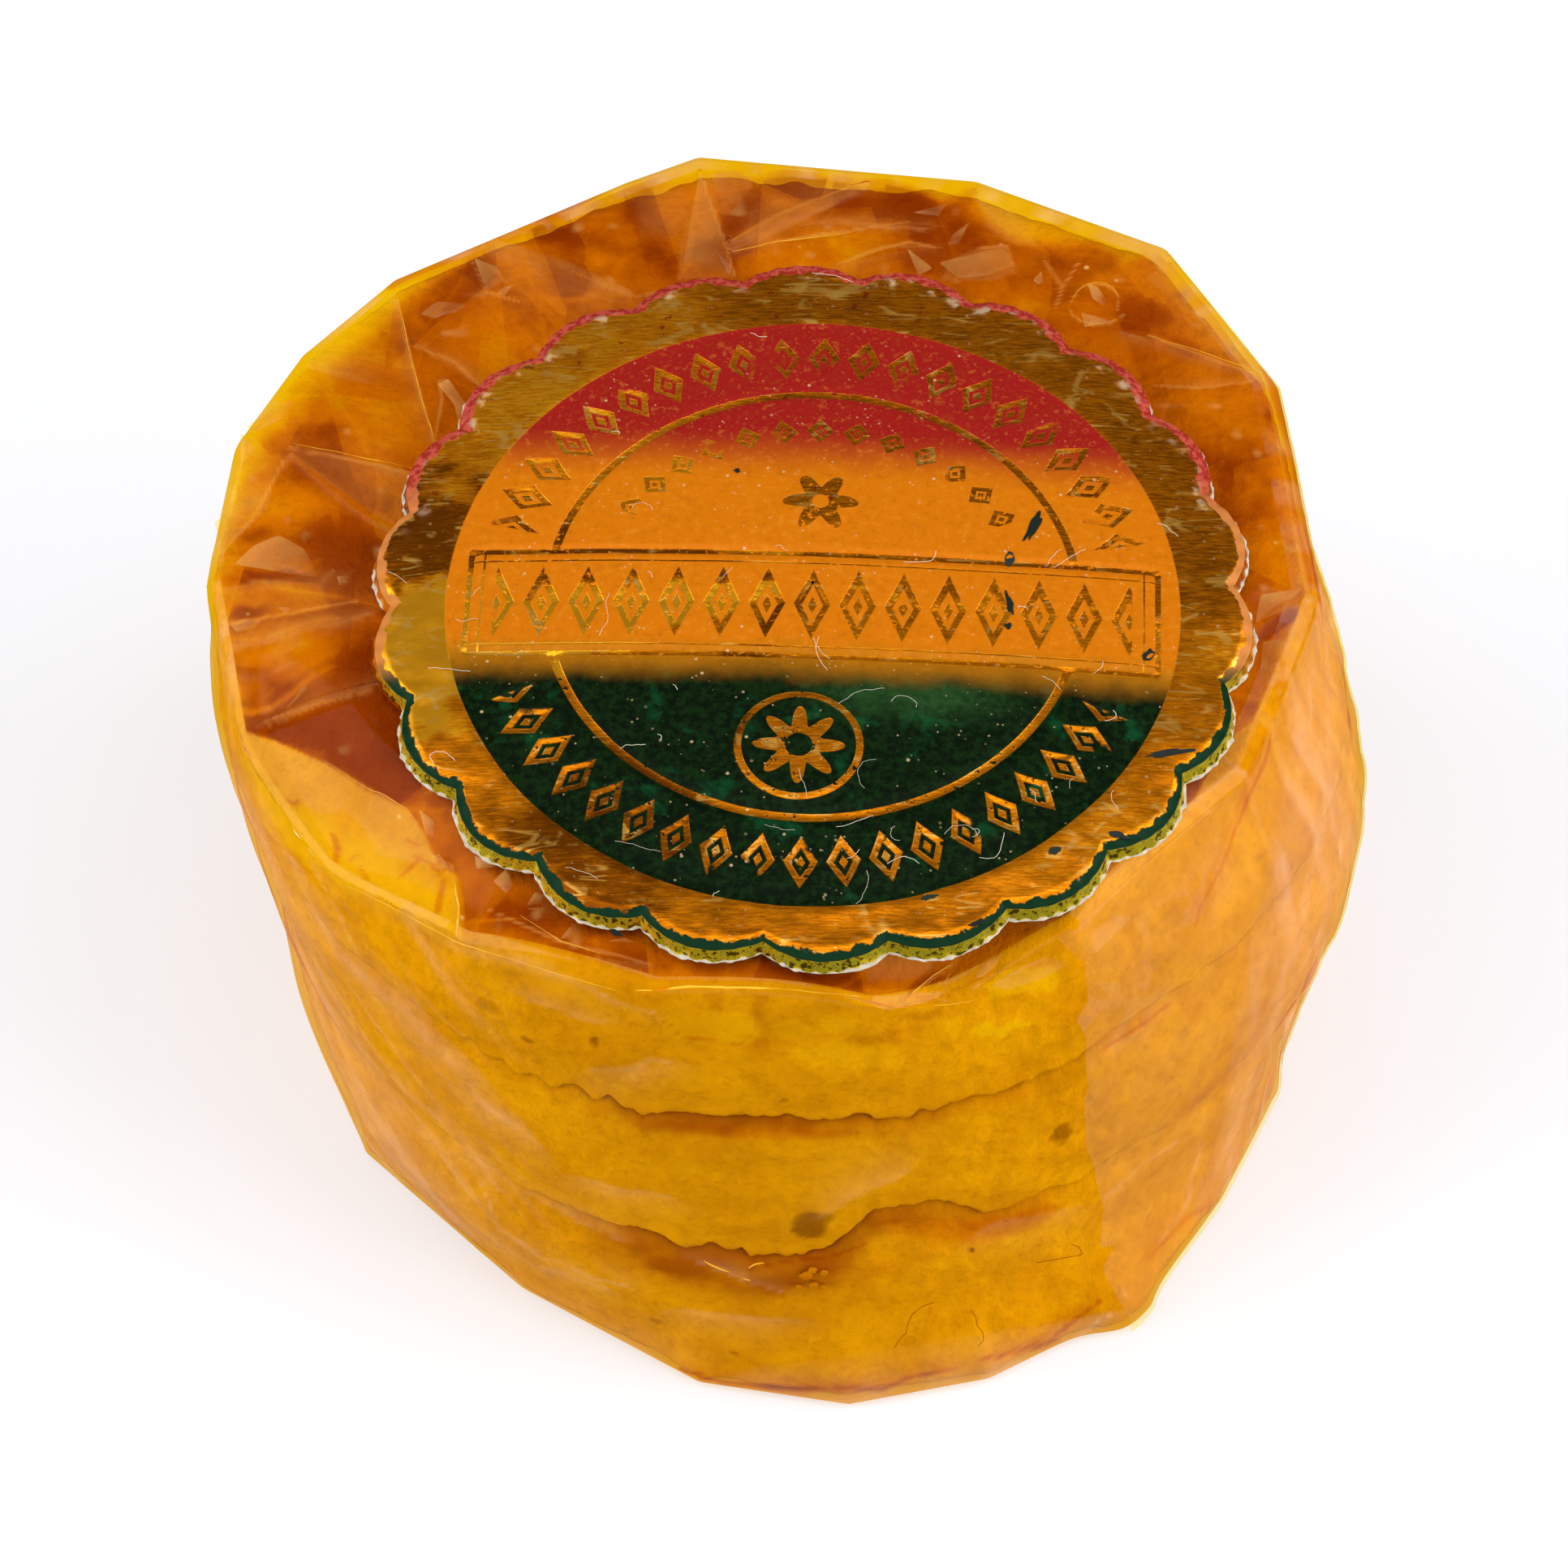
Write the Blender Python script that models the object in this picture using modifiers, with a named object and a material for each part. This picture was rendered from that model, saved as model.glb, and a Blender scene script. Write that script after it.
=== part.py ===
"""A round stack of thick sweet discs, wrapped tight in film, with a scalloped foil seal on its top.

Lengths are metres, +Z is up, and the origin is the middle of the ground that the pack covers.
The front of the pack, which the seal sits towards, faces -Y. Angles are degrees from +X.
"""
import math

import bmesh
import bpy

MM = 0.001

# The wrapped stack leans a little to the left as it rises, and swells at its right side.
STACK_HEIGHT = 42.4 * MM
WAIST_RADIUS = 31.9 * MM
AXIS_AT_BASE = (0.5 * MM, 0.5 * MM)
AXIS_AT_TOP = (-2.1 * MM, 0.8 * MM)
# Each swell: angle, height (mm), how far it stands out (mm), half width (degrees), half height (mm)
SWELLS = (
    (-14, 24.0, 4.0, 36, 14.0),
    (-170, 32.0, 1.3, 30, 10.0),
    (150, 22.0, 0.6, 30, 14.0),
    (75, 26.0, 0.5, 35, 12.0),
)
# The film is drawn in where one disc meets the next.
GAP_HEIGHTS = (29.3 * MM, 15.0 * MM)
GAP_DRAW = 0.4 * MM
GAP_HALF_HEIGHT = 1.9 * MM

# Straight spans of film run between these corners: angle, distance from the axis (mm)
RIM_CORNERS = (
    (166, 32.1), (152, 31.3), (137, 30.5), (106, 30.0), (97, 31.2), (65, 31.9), (43, 34.2), (22, 33.6), (-5, 33.0),
    (-30, 32.2), (-56, 32.0), (-78, 32.1), (-100, 31.9), (-121, 31.9), (-142, 31.8), (-158, 32.6), (-176, 32.3),
)
BASE_CORNERS = (
    (170, 31.5), (140, 31.0), (105, 31.4), (70, 31.2), (35, 31.4), (5, 31.8), (-20, 32.3), (-36, 32.6),
    (-51, 34.1), (-70, 34.0), (-85, 33.9), (-101, 32.8), (-124, 30.8), (-150, 31.5), (-170, 31.5),
)
SPAN_REACH = 9.0 * MM

# The rim is lower where the film slopes down over the top disc's edge: angle, drop (mm), half width
RIM_DIPS = ((-144, 5.2, 20), (-70, 3.0, 12), (-14, 1.5, 22))
RIM_DROP = 0.2 * MM
SHOULDER = 0.9 * MM
SLOPE_WIDTH = 4.5 * MM
# The slope is wider where the rim is lowest: share added, angle, half width
SLOPE_WIDENING = 0.3
SLOPE_WIDE_ANGLE = -144
SLOPE_WIDE_HALF_WIDTH = 24
BASE_EDGE = 0.8 * MM

# Gathered film stands up in low pleats between the rim and the seal.
PLEAT_ANGLES = (172, 153, 134, 118, 99, 76, 58, 41, 24, 6, -155, -138)
PLEAT_HEIGHT = 0.5 * MM
PLEAT_HALF_WIDTH = 3.0

# A loose corner of film sticks out low down at the right of the front.
FILM_CORNER_ANGLE = -54.3
FILM_CORNER_HEIGHT = 1.6 * MM
FILM_CORNER_REACH = 1.1 * MM
FILM_CORNER_WIDTH = 3.6
FILM_CORNER_RISE = 2.4 * MM

COLUMNS = 96
SIDE_ROWS = 14
TOP_ROWS = (0.025, 0.07, 0.13, 0.21, 0.34, 0.55, 0.8)

# The seal is a pressed foil disc: a shallow dome with a scalloped edge turned down.
SEAL_CENTRE = (1.1 * MM, -4.2 * MM)
SEAL_RADIUS = 25.4 * MM
SEAL_DOME = 1.3 * MM
SEAL_THICKNESS = 0.4 * MM
SEAL_EDGE_DROP = 0.8 * MM
SEAL_EDGE_FLARE = 0.35 * MM
SCALLOPS = 22
SCALLOP_DEPTH = 1.1 * MM
SCALLOP_TURN = 1.5
CLEARANCE = 0.35 * MM
SEAL_STEPS = 6
SEAL_ROWS = (0.3, 0.55, 0.76, 0.9)


def clear_scene():
    for old in list(bpy.data.objects):
        bpy.data.objects.remove(old, do_unlink=True)


def make_collection(name):
    collection = bpy.data.collections.new(name)
    bpy.context.scene.collection.children.link(collection)
    return collection


def make_material(name, colour, roughness, metallic, coat=0.0):
    material = bpy.data.materials.new(name)
    material.use_nodes = True
    shader = material.node_tree.nodes["Principled BSDF"]
    shader.inputs["Base Color"].default_value = (*colour, 1.0)
    shader.inputs["Roughness"].default_value = roughness
    shader.inputs["Metallic"].default_value = metallic
    shader.inputs["Coat Weight"].default_value = coat
    return material


def smooth_step(value):
    value = min(max(value, 0.0), 1.0)
    return value * value * (3.0 - 2.0 * value)


def bell(distance, half_width):
    return math.exp(-((distance / half_width) ** 2))


def turn_between(angle, other):
    return (angle - other + 180.0) % 360.0 - 180.0


def span_radius(angle, corners):
    """Distance from the axis to the straight span of film that crosses this angle."""
    ordered = sorted((corner % 360.0, reach * MM) for corner, reach in corners)
    angle %= 360.0
    after = next((i for i, (corner, _) in enumerate(ordered) if corner >= angle), 0)
    start, start_reach = ordered[after - 1]
    end, end_reach = ordered[after]
    to_start = math.radians((angle - start) % 360.0)
    to_end = math.radians((end - angle) % 360.0)
    share = start_reach * math.sin(to_start) + end_reach * math.sin(to_end)
    return start_reach * end_reach * math.sin(to_start + to_end) / share


def rim_height(angle):
    drop = sum(depth * MM * bell(turn_between(angle, at), width) for at, depth, width in RIM_DIPS)
    return STACK_HEIGHT - RIM_DROP - drop


def waist_radius(angle, height):
    radius = WAIST_RADIUS
    for at, level, reach, width, rise in SWELLS:
        radius += reach * MM * bell(turn_between(angle, at), width) * bell(height - level * MM, rise * MM)
    for gap in GAP_HEIGHTS:
        radius -= GAP_DRAW * bell(height - gap, GAP_HALF_HEIGHT)
    return radius


def side_radius(angle, height):
    """The outer skin's distance from the leaning axis."""
    near_rim = smooth_step(1.0 - (rim_height(angle) - height) / SPAN_REACH)
    near_base = smooth_step(1.0 - height / SPAN_REACH)
    waist = waist_radius(angle, height) * (1.0 - near_rim - near_base)
    radius = waist + span_radius(angle, RIM_CORNERS) * near_rim + span_radius(angle, BASE_CORNERS) * near_base
    corner = bell(turn_between(angle, FILM_CORNER_ANGLE), FILM_CORNER_WIDTH)
    return radius + FILM_CORNER_REACH * corner * bell(height - FILM_CORNER_HEIGHT, FILM_CORNER_RISE)


def axis_at(height):
    share = height / STACK_HEIGHT
    return tuple(low + (high - low) * share for low, high in zip(AXIS_AT_BASE, AXIS_AT_TOP))


def skin_point(angle, radius, height):
    x, y = axis_at(height)
    turn = math.radians(angle)
    return (x + radius * math.cos(turn), y + radius * math.sin(turn), height)


def dome_rise(distance):
    return SEAL_DOME * max(0.0, 1.0 - (distance / SEAL_RADIUS) ** 2)


def top_point(angle, inward):
    """A point of the top, from the rim (inward 0) to the middle (inward 1)."""
    rim = span_radius(angle, RIM_CORNERS) - SHOULDER
    radius = rim * (1.0 - inward)
    x, y, _ = skin_point(angle, radius, STACK_HEIGHT)
    from_seal = math.hypot(x - SEAL_CENTRE[0], y - SEAL_CENTRE[1])
    level = STACK_HEIGHT + dome_rise(from_seal)
    edge = rim_height(angle)
    widening = SLOPE_WIDENING * bell(turn_between(angle, SLOPE_WIDE_ANGLE), SLOPE_WIDE_HALF_WIDTH)
    height = edge + (level - edge) * smooth_step((rim - radius) / (SLOPE_WIDTH * (1.0 + widening)))
    open_share = smooth_step((from_seal - SEAL_RADIUS - SEAL_EDGE_FLARE) / SLOPE_WIDTH)
    pleat = max(bell(turn_between(angle, at), PLEAT_HALF_WIDTH) for at in PLEAT_ANGLES)
    rise = PLEAT_HEIGHT * pleat * open_share * smooth_step((rim - radius) / SHOULDER)
    return (x, y, height + rise)


def stack_rings():
    """The wrap's level rings, from the flat base, up the side and over the shoulder to the middle."""
    angles = [360.0 * i / COLUMNS for i in range(COLUMNS)]
    rings = []
    for inset, height in ((BASE_EDGE, 0.0), (BASE_EDGE * 0.3, BASE_EDGE * 0.3)):
        rings.append([skin_point(a, side_radius(a, BASE_EDGE) - inset, height) for a in angles])
    for row in range(SIDE_ROWS + 1):
        ring = []
        for angle in angles:
            highest = rim_height(angle) - SHOULDER
            height = BASE_EDGE + (highest - BASE_EDGE) * row / SIDE_ROWS
            ring.append(skin_point(angle, side_radius(angle, height), height))
        rings.append(ring)
    shoulder = []
    for angle in angles:
        radius = span_radius(angle, RIM_CORNERS) - SHOULDER * 0.3
        shoulder.append(skin_point(angle, radius, rim_height(angle) - SHOULDER * 0.3))
    rings.append(shoulder)
    for inward in (0.0, *TOP_ROWS):
        rings.append([top_point(angle, inward) for angle in angles])
    return rings


def loft(rings, close_ends):
    """Joins rings of equal count with quads, and closes the first and last with a flat face each."""
    mesh = bmesh.new()
    rows = [[mesh.verts.new(point) for point in ring] for ring in rings]
    for low, high in zip(rows, rows[1:]):
        for i in range(len(low)):
            after = (i + 1) % len(low)
            mesh.faces.new((low[i], low[after], high[after], high[i]))
    if close_ends:
        mesh.faces.new(list(reversed(rows[0])))
    mesh.faces.new(rows[-1])
    return mesh


def finish_object(name, mesh, material, collection):
    bmesh.ops.recalc_face_normals(mesh, faces=mesh.faces)
    data = bpy.data.meshes.new(name)
    mesh.to_mesh(data)
    mesh.free()
    data.shade_smooth()
    data.set_sharp_from_angle(angle=math.radians(40))
    data.materials.append(material)
    piece = bpy.data.objects.new(name, data)
    collection.objects.link(piece)
    return piece


def make_wrapped_stack(collection):
    material = make_material("amber_film", (0.72, 0.34, 0.02), 0.22, 0.0, coat=0.6)
    return finish_object("wrapped_stack", loft(stack_rings(), close_ends=True), material, collection)


def scallop_radius(angle):
    """The seal's edge: rounded lobes that meet in sharp notches."""
    across = (angle - SCALLOP_TURN) * SCALLOPS / 360.0 % 1.0 * 2.0 - 1.0
    return SEAL_RADIUS - SCALLOP_DEPTH * across * across


def seal_point(angle, share, drop=0.0, flare=0.0):
    """A point of the seal's upper face, with the scallops fading out towards the middle."""
    radius = SEAL_RADIUS * share + (scallop_radius(angle) - SEAL_RADIUS) * share ** 6 - flare
    turn = math.radians(angle)
    height = STACK_HEIGHT + CLEARANCE + SEAL_EDGE_DROP + dome_rise(radius) - drop
    return (SEAL_CENTRE[0] + radius * math.cos(turn), SEAL_CENTRE[1] + radius * math.sin(turn), height)


def make_foil_seal(collection):
    count = SCALLOPS * SEAL_STEPS
    angles = [SCALLOP_TURN + 360.0 * i / count for i in range(count)]
    rings = [[seal_point(a, 1.0, drop=SEAL_EDGE_DROP + dome_rise(scallop_radius(a))) for a in angles]]
    rings.append([seal_point(a, 1.0, drop=SEAL_EDGE_DROP * 0.1, flare=SEAL_EDGE_FLARE) for a in angles])
    for share in reversed(SEAL_ROWS):
        rings.append([seal_point(a, share) for a in angles])
    material = make_material("gold_foil", (0.62, 0.38, 0.07), 0.32, 1.0)
    seal = finish_object("foil_seal", loft(rings, close_ends=False), material, collection)
    shell = seal.modifiers.new("thickness", "SOLIDIFY")
    shell.thickness = SEAL_THICKNESS
    shell.offset = -1.0
    return seal


def main():
    clear_scene()
    collection = make_collection("kaju_puri_pack")
    make_wrapped_stack(collection)
    make_foil_seal(collection)


main()
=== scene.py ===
import math
from functools import partial, reduce

import bpy
import numpy as np
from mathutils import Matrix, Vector


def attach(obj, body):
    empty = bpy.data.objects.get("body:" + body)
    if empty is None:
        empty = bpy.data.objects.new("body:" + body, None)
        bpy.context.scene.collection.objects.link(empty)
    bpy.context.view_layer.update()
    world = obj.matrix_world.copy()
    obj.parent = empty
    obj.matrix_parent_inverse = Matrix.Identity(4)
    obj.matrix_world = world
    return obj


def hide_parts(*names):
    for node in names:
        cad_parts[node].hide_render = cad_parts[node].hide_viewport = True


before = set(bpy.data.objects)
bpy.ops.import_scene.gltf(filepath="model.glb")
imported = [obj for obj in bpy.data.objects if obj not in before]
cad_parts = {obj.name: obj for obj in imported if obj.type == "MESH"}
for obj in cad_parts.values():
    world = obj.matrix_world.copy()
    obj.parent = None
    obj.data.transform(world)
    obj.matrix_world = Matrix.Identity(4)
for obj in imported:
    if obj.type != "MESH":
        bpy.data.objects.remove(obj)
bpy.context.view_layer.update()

# Lengths in this script are millimetres and angles are degrees, until a mesh is made.
METRE = 0.001

# The wrap's form, as in the CAD model
STACK_HEIGHT = 42.4
WAIST_RADIUS = 31.9
AXIS_AT_BASE = (0.5, 0.5)
AXIS_AT_TOP = (-2.1, 0.8)
# Each swell: angle, height, how far it stands out, half width, half height
SWELLS = (
    (-14, 24.0, 4.0, 36, 14.0),
    (-170, 32.0, 1.3, 30, 10.0),
    (150, 22.0, 0.6, 30, 14.0),
    (75, 26.0, 0.5, 35, 12.0),
)
GAP_HEIGHTS = (29.3, 15.0)
GAP_DRAW = 0.4
GAP_HALF_HEIGHT = 1.9
# Corners of the film at the rim and at the base: angle, and distance from the axis
RIM_CORNERS = (
    (166, 32.1), (152, 31.3), (137, 30.5), (106, 30.0), (97, 31.2), (65, 31.9), (43, 34.2), (22, 33.6),
    (-5, 33.0), (-30, 32.2), (-56, 32.0), (-78, 32.1), (-100, 31.9), (-121, 31.9), (-142, 31.8), (-158, 32.6),
    (-176, 32.3),
)
BASE_CORNERS = (
    (170, 31.5), (140, 31.0), (105, 31.4), (70, 31.2), (35, 31.4), (5, 31.8), (-20, 32.3), (-36, 32.6),
    (-51, 34.1), (-70, 34.0), (-85, 33.9), (-101, 32.8), (-124, 30.8), (-150, 31.5), (-170, 31.5),
)
SPAN_REACH = 9.0
# Where the rim dips: angle, depth and half width
RIM_DIPS = ((-144, 5.2, 20), (-70, 3.0, 12), (-14, 1.5, 22))
RIM_DROP = 0.2
SHOULDER = 0.9
SLOPE_WIDTH = 4.5
SLOPE_WIDENING = 0.3
SLOPE_WIDE_ANGLE = -144
SLOPE_WIDE_HALF_WIDTH = 24
BASE_EDGE = 0.8
FILM_CORNER_ANGLE = -54.3
FILM_CORNER_HEIGHT = 1.6
FILM_CORNER_REACH = 1.1
FILM_CORNER_WIDTH = 3.6
FILM_CORNER_RISE = 2.4

SEAL_CENTRE = (1.1, -4.2)
SEAL_SHIFT = np.array([*SEAL_CENTRE, 0.0])
SEAL_RADIUS = 25.4
SEAL_DOME = 1.3
SEAL_LIFT = 1.15
SEAL_SKIRT = 0.95
SCALLOPS = 22
SCALLOP_DEPTH = 1.1
SCALLOP_TURN = 1.5

# The camera
CAMERA_ELEVATION = 54.0
CAMERA_DISTANCE = 330.0
CAMERA_LENS = 122.5
SENSOR_WIDTH = 36.0
CAMERA_AIM = (-0.55, 0.0, 19.3)


def bell(distance, half_width):
    return np.exp(-((distance / half_width) ** 2))


def smooth_step(value):
    value = np.clip(value, 0.0, 1.0)
    return value * value * (3.0 - 2.0 * value)


def turn_between(angle, other):
    return (angle - other + 180.0) % 360.0 - 180.0


def lattice_value(cells, seed):
    """A repeatable number from 0 to 1 for each whole-number cell."""
    mixed = cells[..., 0] * 374761393 + cells[..., 1] * 668265263
    mixed = mixed + cells[..., 2] * 2147483647 + seed * 1274126177
    mixed = (mixed ^ (mixed >> 13)) * 1274126177
    return ((mixed ^ (mixed >> 16)) & 0xFFFFF) / 0xFFFFF


def noise(points, size, seed=0):
    """Smooth noise from -1 to 1 whose blobs are about one size wide."""
    points = np.asarray(points, float) / size
    cell = np.floor(points).astype(np.int64)
    part = smooth_step(points - cell)
    total = 0.0
    for corner in np.ndindex(2, 2, 2):
        weight = np.prod(np.where(np.array(corner) == 1, part, 1.0 - part), axis=-1)
        total = total + weight * lattice_value(cell + np.array(corner), seed)
    return total * 2.0 - 1.0


def rough_noise(points, size, seed=0, octaves=4):
    return sum(noise(points, size / 2 ** i, seed + i) / 2 ** i for i in range(octaves)) / 1.6


def stack_of(*coordinates):
    return np.stack(np.broadcast_arrays(*coordinates), axis=-1)


def span_radius(angle, corners):
    """Distance from the axis to the straight span of film that crosses each angle."""
    ordered = np.array(sorted((corner % 360.0, reach) for corner, reach in corners))
    turn = np.asarray(angle, float) % 360.0
    after = np.searchsorted(ordered[:, 0], turn) % len(ordered)
    start, end = ordered[after - 1], ordered[after]
    to_start = np.radians((turn - start[..., 0]) % 360.0)
    to_end = np.radians((end[..., 0] - turn) % 360.0)
    share = start[..., 1] * np.sin(to_start) + end[..., 1] * np.sin(to_end)
    return start[..., 1] * end[..., 1] * np.sin(to_start + to_end) / share


def rim_height(angle):
    drop = sum(depth * bell(turn_between(angle, at), width) for at, depth, width in RIM_DIPS)
    return STACK_HEIGHT - RIM_DROP - drop


def waist_radius(angle, height):
    radius = WAIST_RADIUS
    for at, level, reach, width, rise in SWELLS:
        radius = radius + reach * bell(turn_between(angle, at), width) * bell(height - level, rise)
    for gap in GAP_HEIGHTS:
        radius = radius - GAP_DRAW * bell(height - gap, GAP_HALF_HEIGHT)
    return radius


def side_radius(angle, height):
    """The film's distance from the leaning axis, up the side."""
    near_rim = smooth_step(1.0 - (rim_height(angle) - height) / SPAN_REACH)
    near_base = smooth_step(1.0 - height / SPAN_REACH)
    waist = waist_radius(angle, height) * (1.0 - near_rim - near_base)
    radius = waist + span_radius(angle, RIM_CORNERS) * near_rim + span_radius(angle, BASE_CORNERS) * near_base
    corner = bell(turn_between(angle, FILM_CORNER_ANGLE), FILM_CORNER_WIDTH)
    return radius + FILM_CORNER_REACH * corner * bell(height - FILM_CORNER_HEIGHT, FILM_CORNER_RISE)


def axis_at(height):
    share = np.asarray(height, float) / STACK_HEIGHT
    return tuple(low + (high - low) * share for low, high in zip(AXIS_AT_BASE, AXIS_AT_TOP))


def on_circle(angle, radius=1.0):
    turn = np.radians(angle)
    return stack_of(radius * np.cos(turn), radius * np.sin(turn), 0.0 * turn)


def skin_point(angle, radius, height):
    x, y = axis_at(height)
    turn = np.radians(angle)
    return stack_of(x + radius * np.cos(turn), y + radius * np.sin(turn), height + 0.0 * turn)


def about_axis(points):
    """Each point's angle and distance from the leaning axis."""
    x, y = axis_at(points[..., 2])
    across, along = points[..., 0] - x, points[..., 1] - y
    return np.degrees(np.arctan2(along, across)), np.hypot(across, along)


def dome_rise(distance):
    return SEAL_DOME * np.maximum(0.0, 1.0 - (distance / SEAL_RADIUS) ** 2)


def rim_radius(angle):
    return span_radius(angle, RIM_CORNERS) - SHOULDER


def top_height(x, y):
    """How high the film lies at a place on the top, sloping down to the rim."""
    across, along = x - AXIS_AT_TOP[0], y - AXIS_AT_TOP[1]
    angle, radius = np.degrees(np.arctan2(along, across)), np.hypot(across, along)
    level = STACK_HEIGHT + dome_rise(np.hypot(x - SEAL_CENTRE[0], y - SEAL_CENTRE[1]))
    edge = rim_height(angle)
    widening = SLOPE_WIDENING * bell(turn_between(angle, SLOPE_WIDE_ANGLE), SLOPE_WIDE_HALF_WIDTH)
    width = SLOPE_WIDTH * (1.0 + widening)
    inside = (rim_radius(angle) - radius) / width
    return edge + (level - edge) * smooth_step(inside) + np.minimum(inside, 0.0) * width * 0.8


# Features that are placed by a pixel of the photo use its frame of this many pixels a side.
PHOTO_FRAME = 1932
CAMERA_TILT = math.radians(CAMERA_ELEVATION)
CAMERA_BACK = np.array([0.0, -math.cos(CAMERA_TILT), math.sin(CAMERA_TILT)])
CAMERA_UP = np.array([0.0, math.sin(CAMERA_TILT), math.cos(CAMERA_TILT)])
CAMERA_PLACE = np.array(CAMERA_AIM) + CAMERA_DISTANCE * CAMERA_BACK
FOCAL_PIXELS = CAMERA_LENS / SENSOR_WIDTH * PHOTO_FRAME


def to_photo(points):
    """Where points (mm) fall in the photo's frame."""
    away = np.asarray(points, float) - CAMERA_PLACE
    scale = -FOCAL_PIXELS / (away @ CAMERA_BACK)
    return stack_of(PHOTO_FRAME / 2 + scale * away[..., 0], PHOTO_FRAME / 2 - scale * (away @ CAMERA_UP))


def photo_ray(pixels):
    pixels = np.asarray(pixels, float) - PHOTO_FRAME / 2
    way = stack_of(pixels[..., 0], 0.0, 0.0)
    way = way - pixels[..., 1:2] * CAMERA_UP - FOCAL_PIXELS * CAMERA_BACK
    return way / np.linalg.norm(way, axis=-1, keepdims=True)


def top_place(pixels):
    """The places on the top film that pixels of the photo show, as x and y."""
    way = photo_ray(pixels)
    level = np.full(way.shape[:-1], STACK_HEIGHT)
    for _ in range(6):
        point = CAMERA_PLACE + way * ((level - CAMERA_PLACE[2]) / way[..., 2])[..., None]
        level = top_height(point[..., 0], point[..., 1])
    return point[..., 0], point[..., 1]


def side_place(pixels):
    """The places on the film's side that pixels of the photo show, as angle and height."""
    way = photo_ray(pixels)
    height = np.full(way.shape[:-1], 20.0)
    radius = np.full(way.shape[:-1], WAIST_RADIUS)
    for _ in range(12):
        x, y = axis_at(height)
        start_x, start_y = CAMERA_PLACE[0] - x, CAMERA_PLACE[1] - y
        square = way[..., 0] ** 2 + way[..., 1] ** 2
        middle = way[..., 0] * start_x + way[..., 1] * start_y
        root = np.maximum(middle ** 2 - square * (start_x ** 2 + start_y ** 2 - radius ** 2), 0.0)
        point = CAMERA_PLACE + way * ((-middle - np.sqrt(root)) / square)[..., None]
        angle, _ = about_axis(point)
        height = np.clip(point[..., 2], 0.0, STACK_HEIGHT)
        radius = side_radius(angle, height)
    return angle, height


def line_distance(seen, path):
    """Each pixel's distance from a bent line, and how far along that line it lies, from 0 to 1."""
    path = np.asarray(path, float)
    lengths = np.hypot(*np.diff(path, axis=0).T)
    best, along, passed = np.full(seen.shape[:-1], 1e9), np.zeros(seen.shape[:-1]), 0.0
    for start, end, length in zip(path[:-1], path[1:], lengths):
        share = np.clip(((seen - start) @ (end - start)) / length ** 2, 0.0, 1.0)
        away = np.hypot(*np.moveaxis(seen - start - share[..., None] * (end - start), -1, 0))
        nearer = away < best
        best = np.where(nearer, away, best)
        along = np.where(nearer, passed + share * length, along)
        passed += length
    return best, along / passed


def beside_line(seen, path):
    """How far each pixel lies to one side of the straight line between the ends, times its length."""
    start, end = np.array(path[0], float), np.array(path[-1], float)
    return (seen - start) @ np.array([start[1] - end[1], end[0] - start[0]])


def thinning(along):
    """1 in the middle of a line and nearly 0 at both its ends."""
    return np.sqrt(np.clip(np.sin(np.pi * (0.06 + 0.88 * along)), 0, 1))


def on_band(seen, path, half_width):
    """A soft band along a bent line: 1 in its middle, 0 beyond its width, thinning to both ends."""
    away, along = line_distance(seen, path)
    return smooth_step(1.5 - away / np.maximum(half_width * thinning(along), 0.1))


def on_area(seen, corners, soft):
    """1 inside an outline and 0 outside, with an edge this many pixels soft."""
    corners = np.asarray(corners, float)
    away, _ = line_distance(seen, np.concatenate([corners, corners[:1]]))
    inside = np.zeros(seen.shape[:-1], bool)
    for (x1, y1), (x2, y2) in zip(corners, np.roll(corners, -1, axis=0)):
        crosses = (y1 > seen[..., 1]) != (y2 > seen[..., 1])
        if y1 != y2:
            inside ^= crosses & (seen[..., 0] < x1 + (seen[..., 1] - y1) * (x2 - x1) / (y2 - y1))
    return smooth_step(0.5 + np.where(inside, away, -away) / soft)


def on_spot(seen, x, y, half_length, half_width, turn):
    """A soft oval: turn is its tilt, clockwise in the photo."""
    tilt = math.radians(turn)
    across, down = seen[..., 0] - x, seen[..., 1] - y
    along = (across * math.cos(tilt) + down * math.sin(tilt)) / half_length
    beside = (down * math.cos(tilt) - across * math.sin(tilt)) / half_width
    return np.exp(-(along ** 2 + beside ** 2))


def make_mesh(name, points, faces, material, attributes=None):
    data = bpy.data.meshes.new(name)
    data.from_pydata((np.asarray(points) * METRE).tolist(), [], np.asarray(faces).tolist())
    for key, values in (attributes or {}).items():
        layer = data.attributes.new(key, "FLOAT", "POINT")
        layer.data.foreach_set("value", np.asarray(values, np.float32).ravel())
    data.shade_smooth()
    data.materials.append(material)
    piece = bpy.data.objects.new(name, data)
    bpy.context.scene.collection.objects.link(piece)
    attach(piece, "root")
    return piece


def grid_faces(rows, columns, closed):
    """Quads of a grid of points; closed joins the last column to the first."""
    count = columns if closed else columns - 1
    low = np.arange(rows - 1)[:, None] * columns
    here, after = np.arange(count), (np.arange(count) + 1) % columns
    faces = np.stack([low + here, low + after, low + columns + after, low + columns + here], axis=-1)
    return faces.reshape(-1, 4)


def grid_piece(name, grid, material, closed=False, attributes=None):
    rows, columns = grid.shape[:2]
    return make_mesh(name, grid.reshape(-1, 3), grid_faces(rows, columns, closed), material, attributes)


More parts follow.
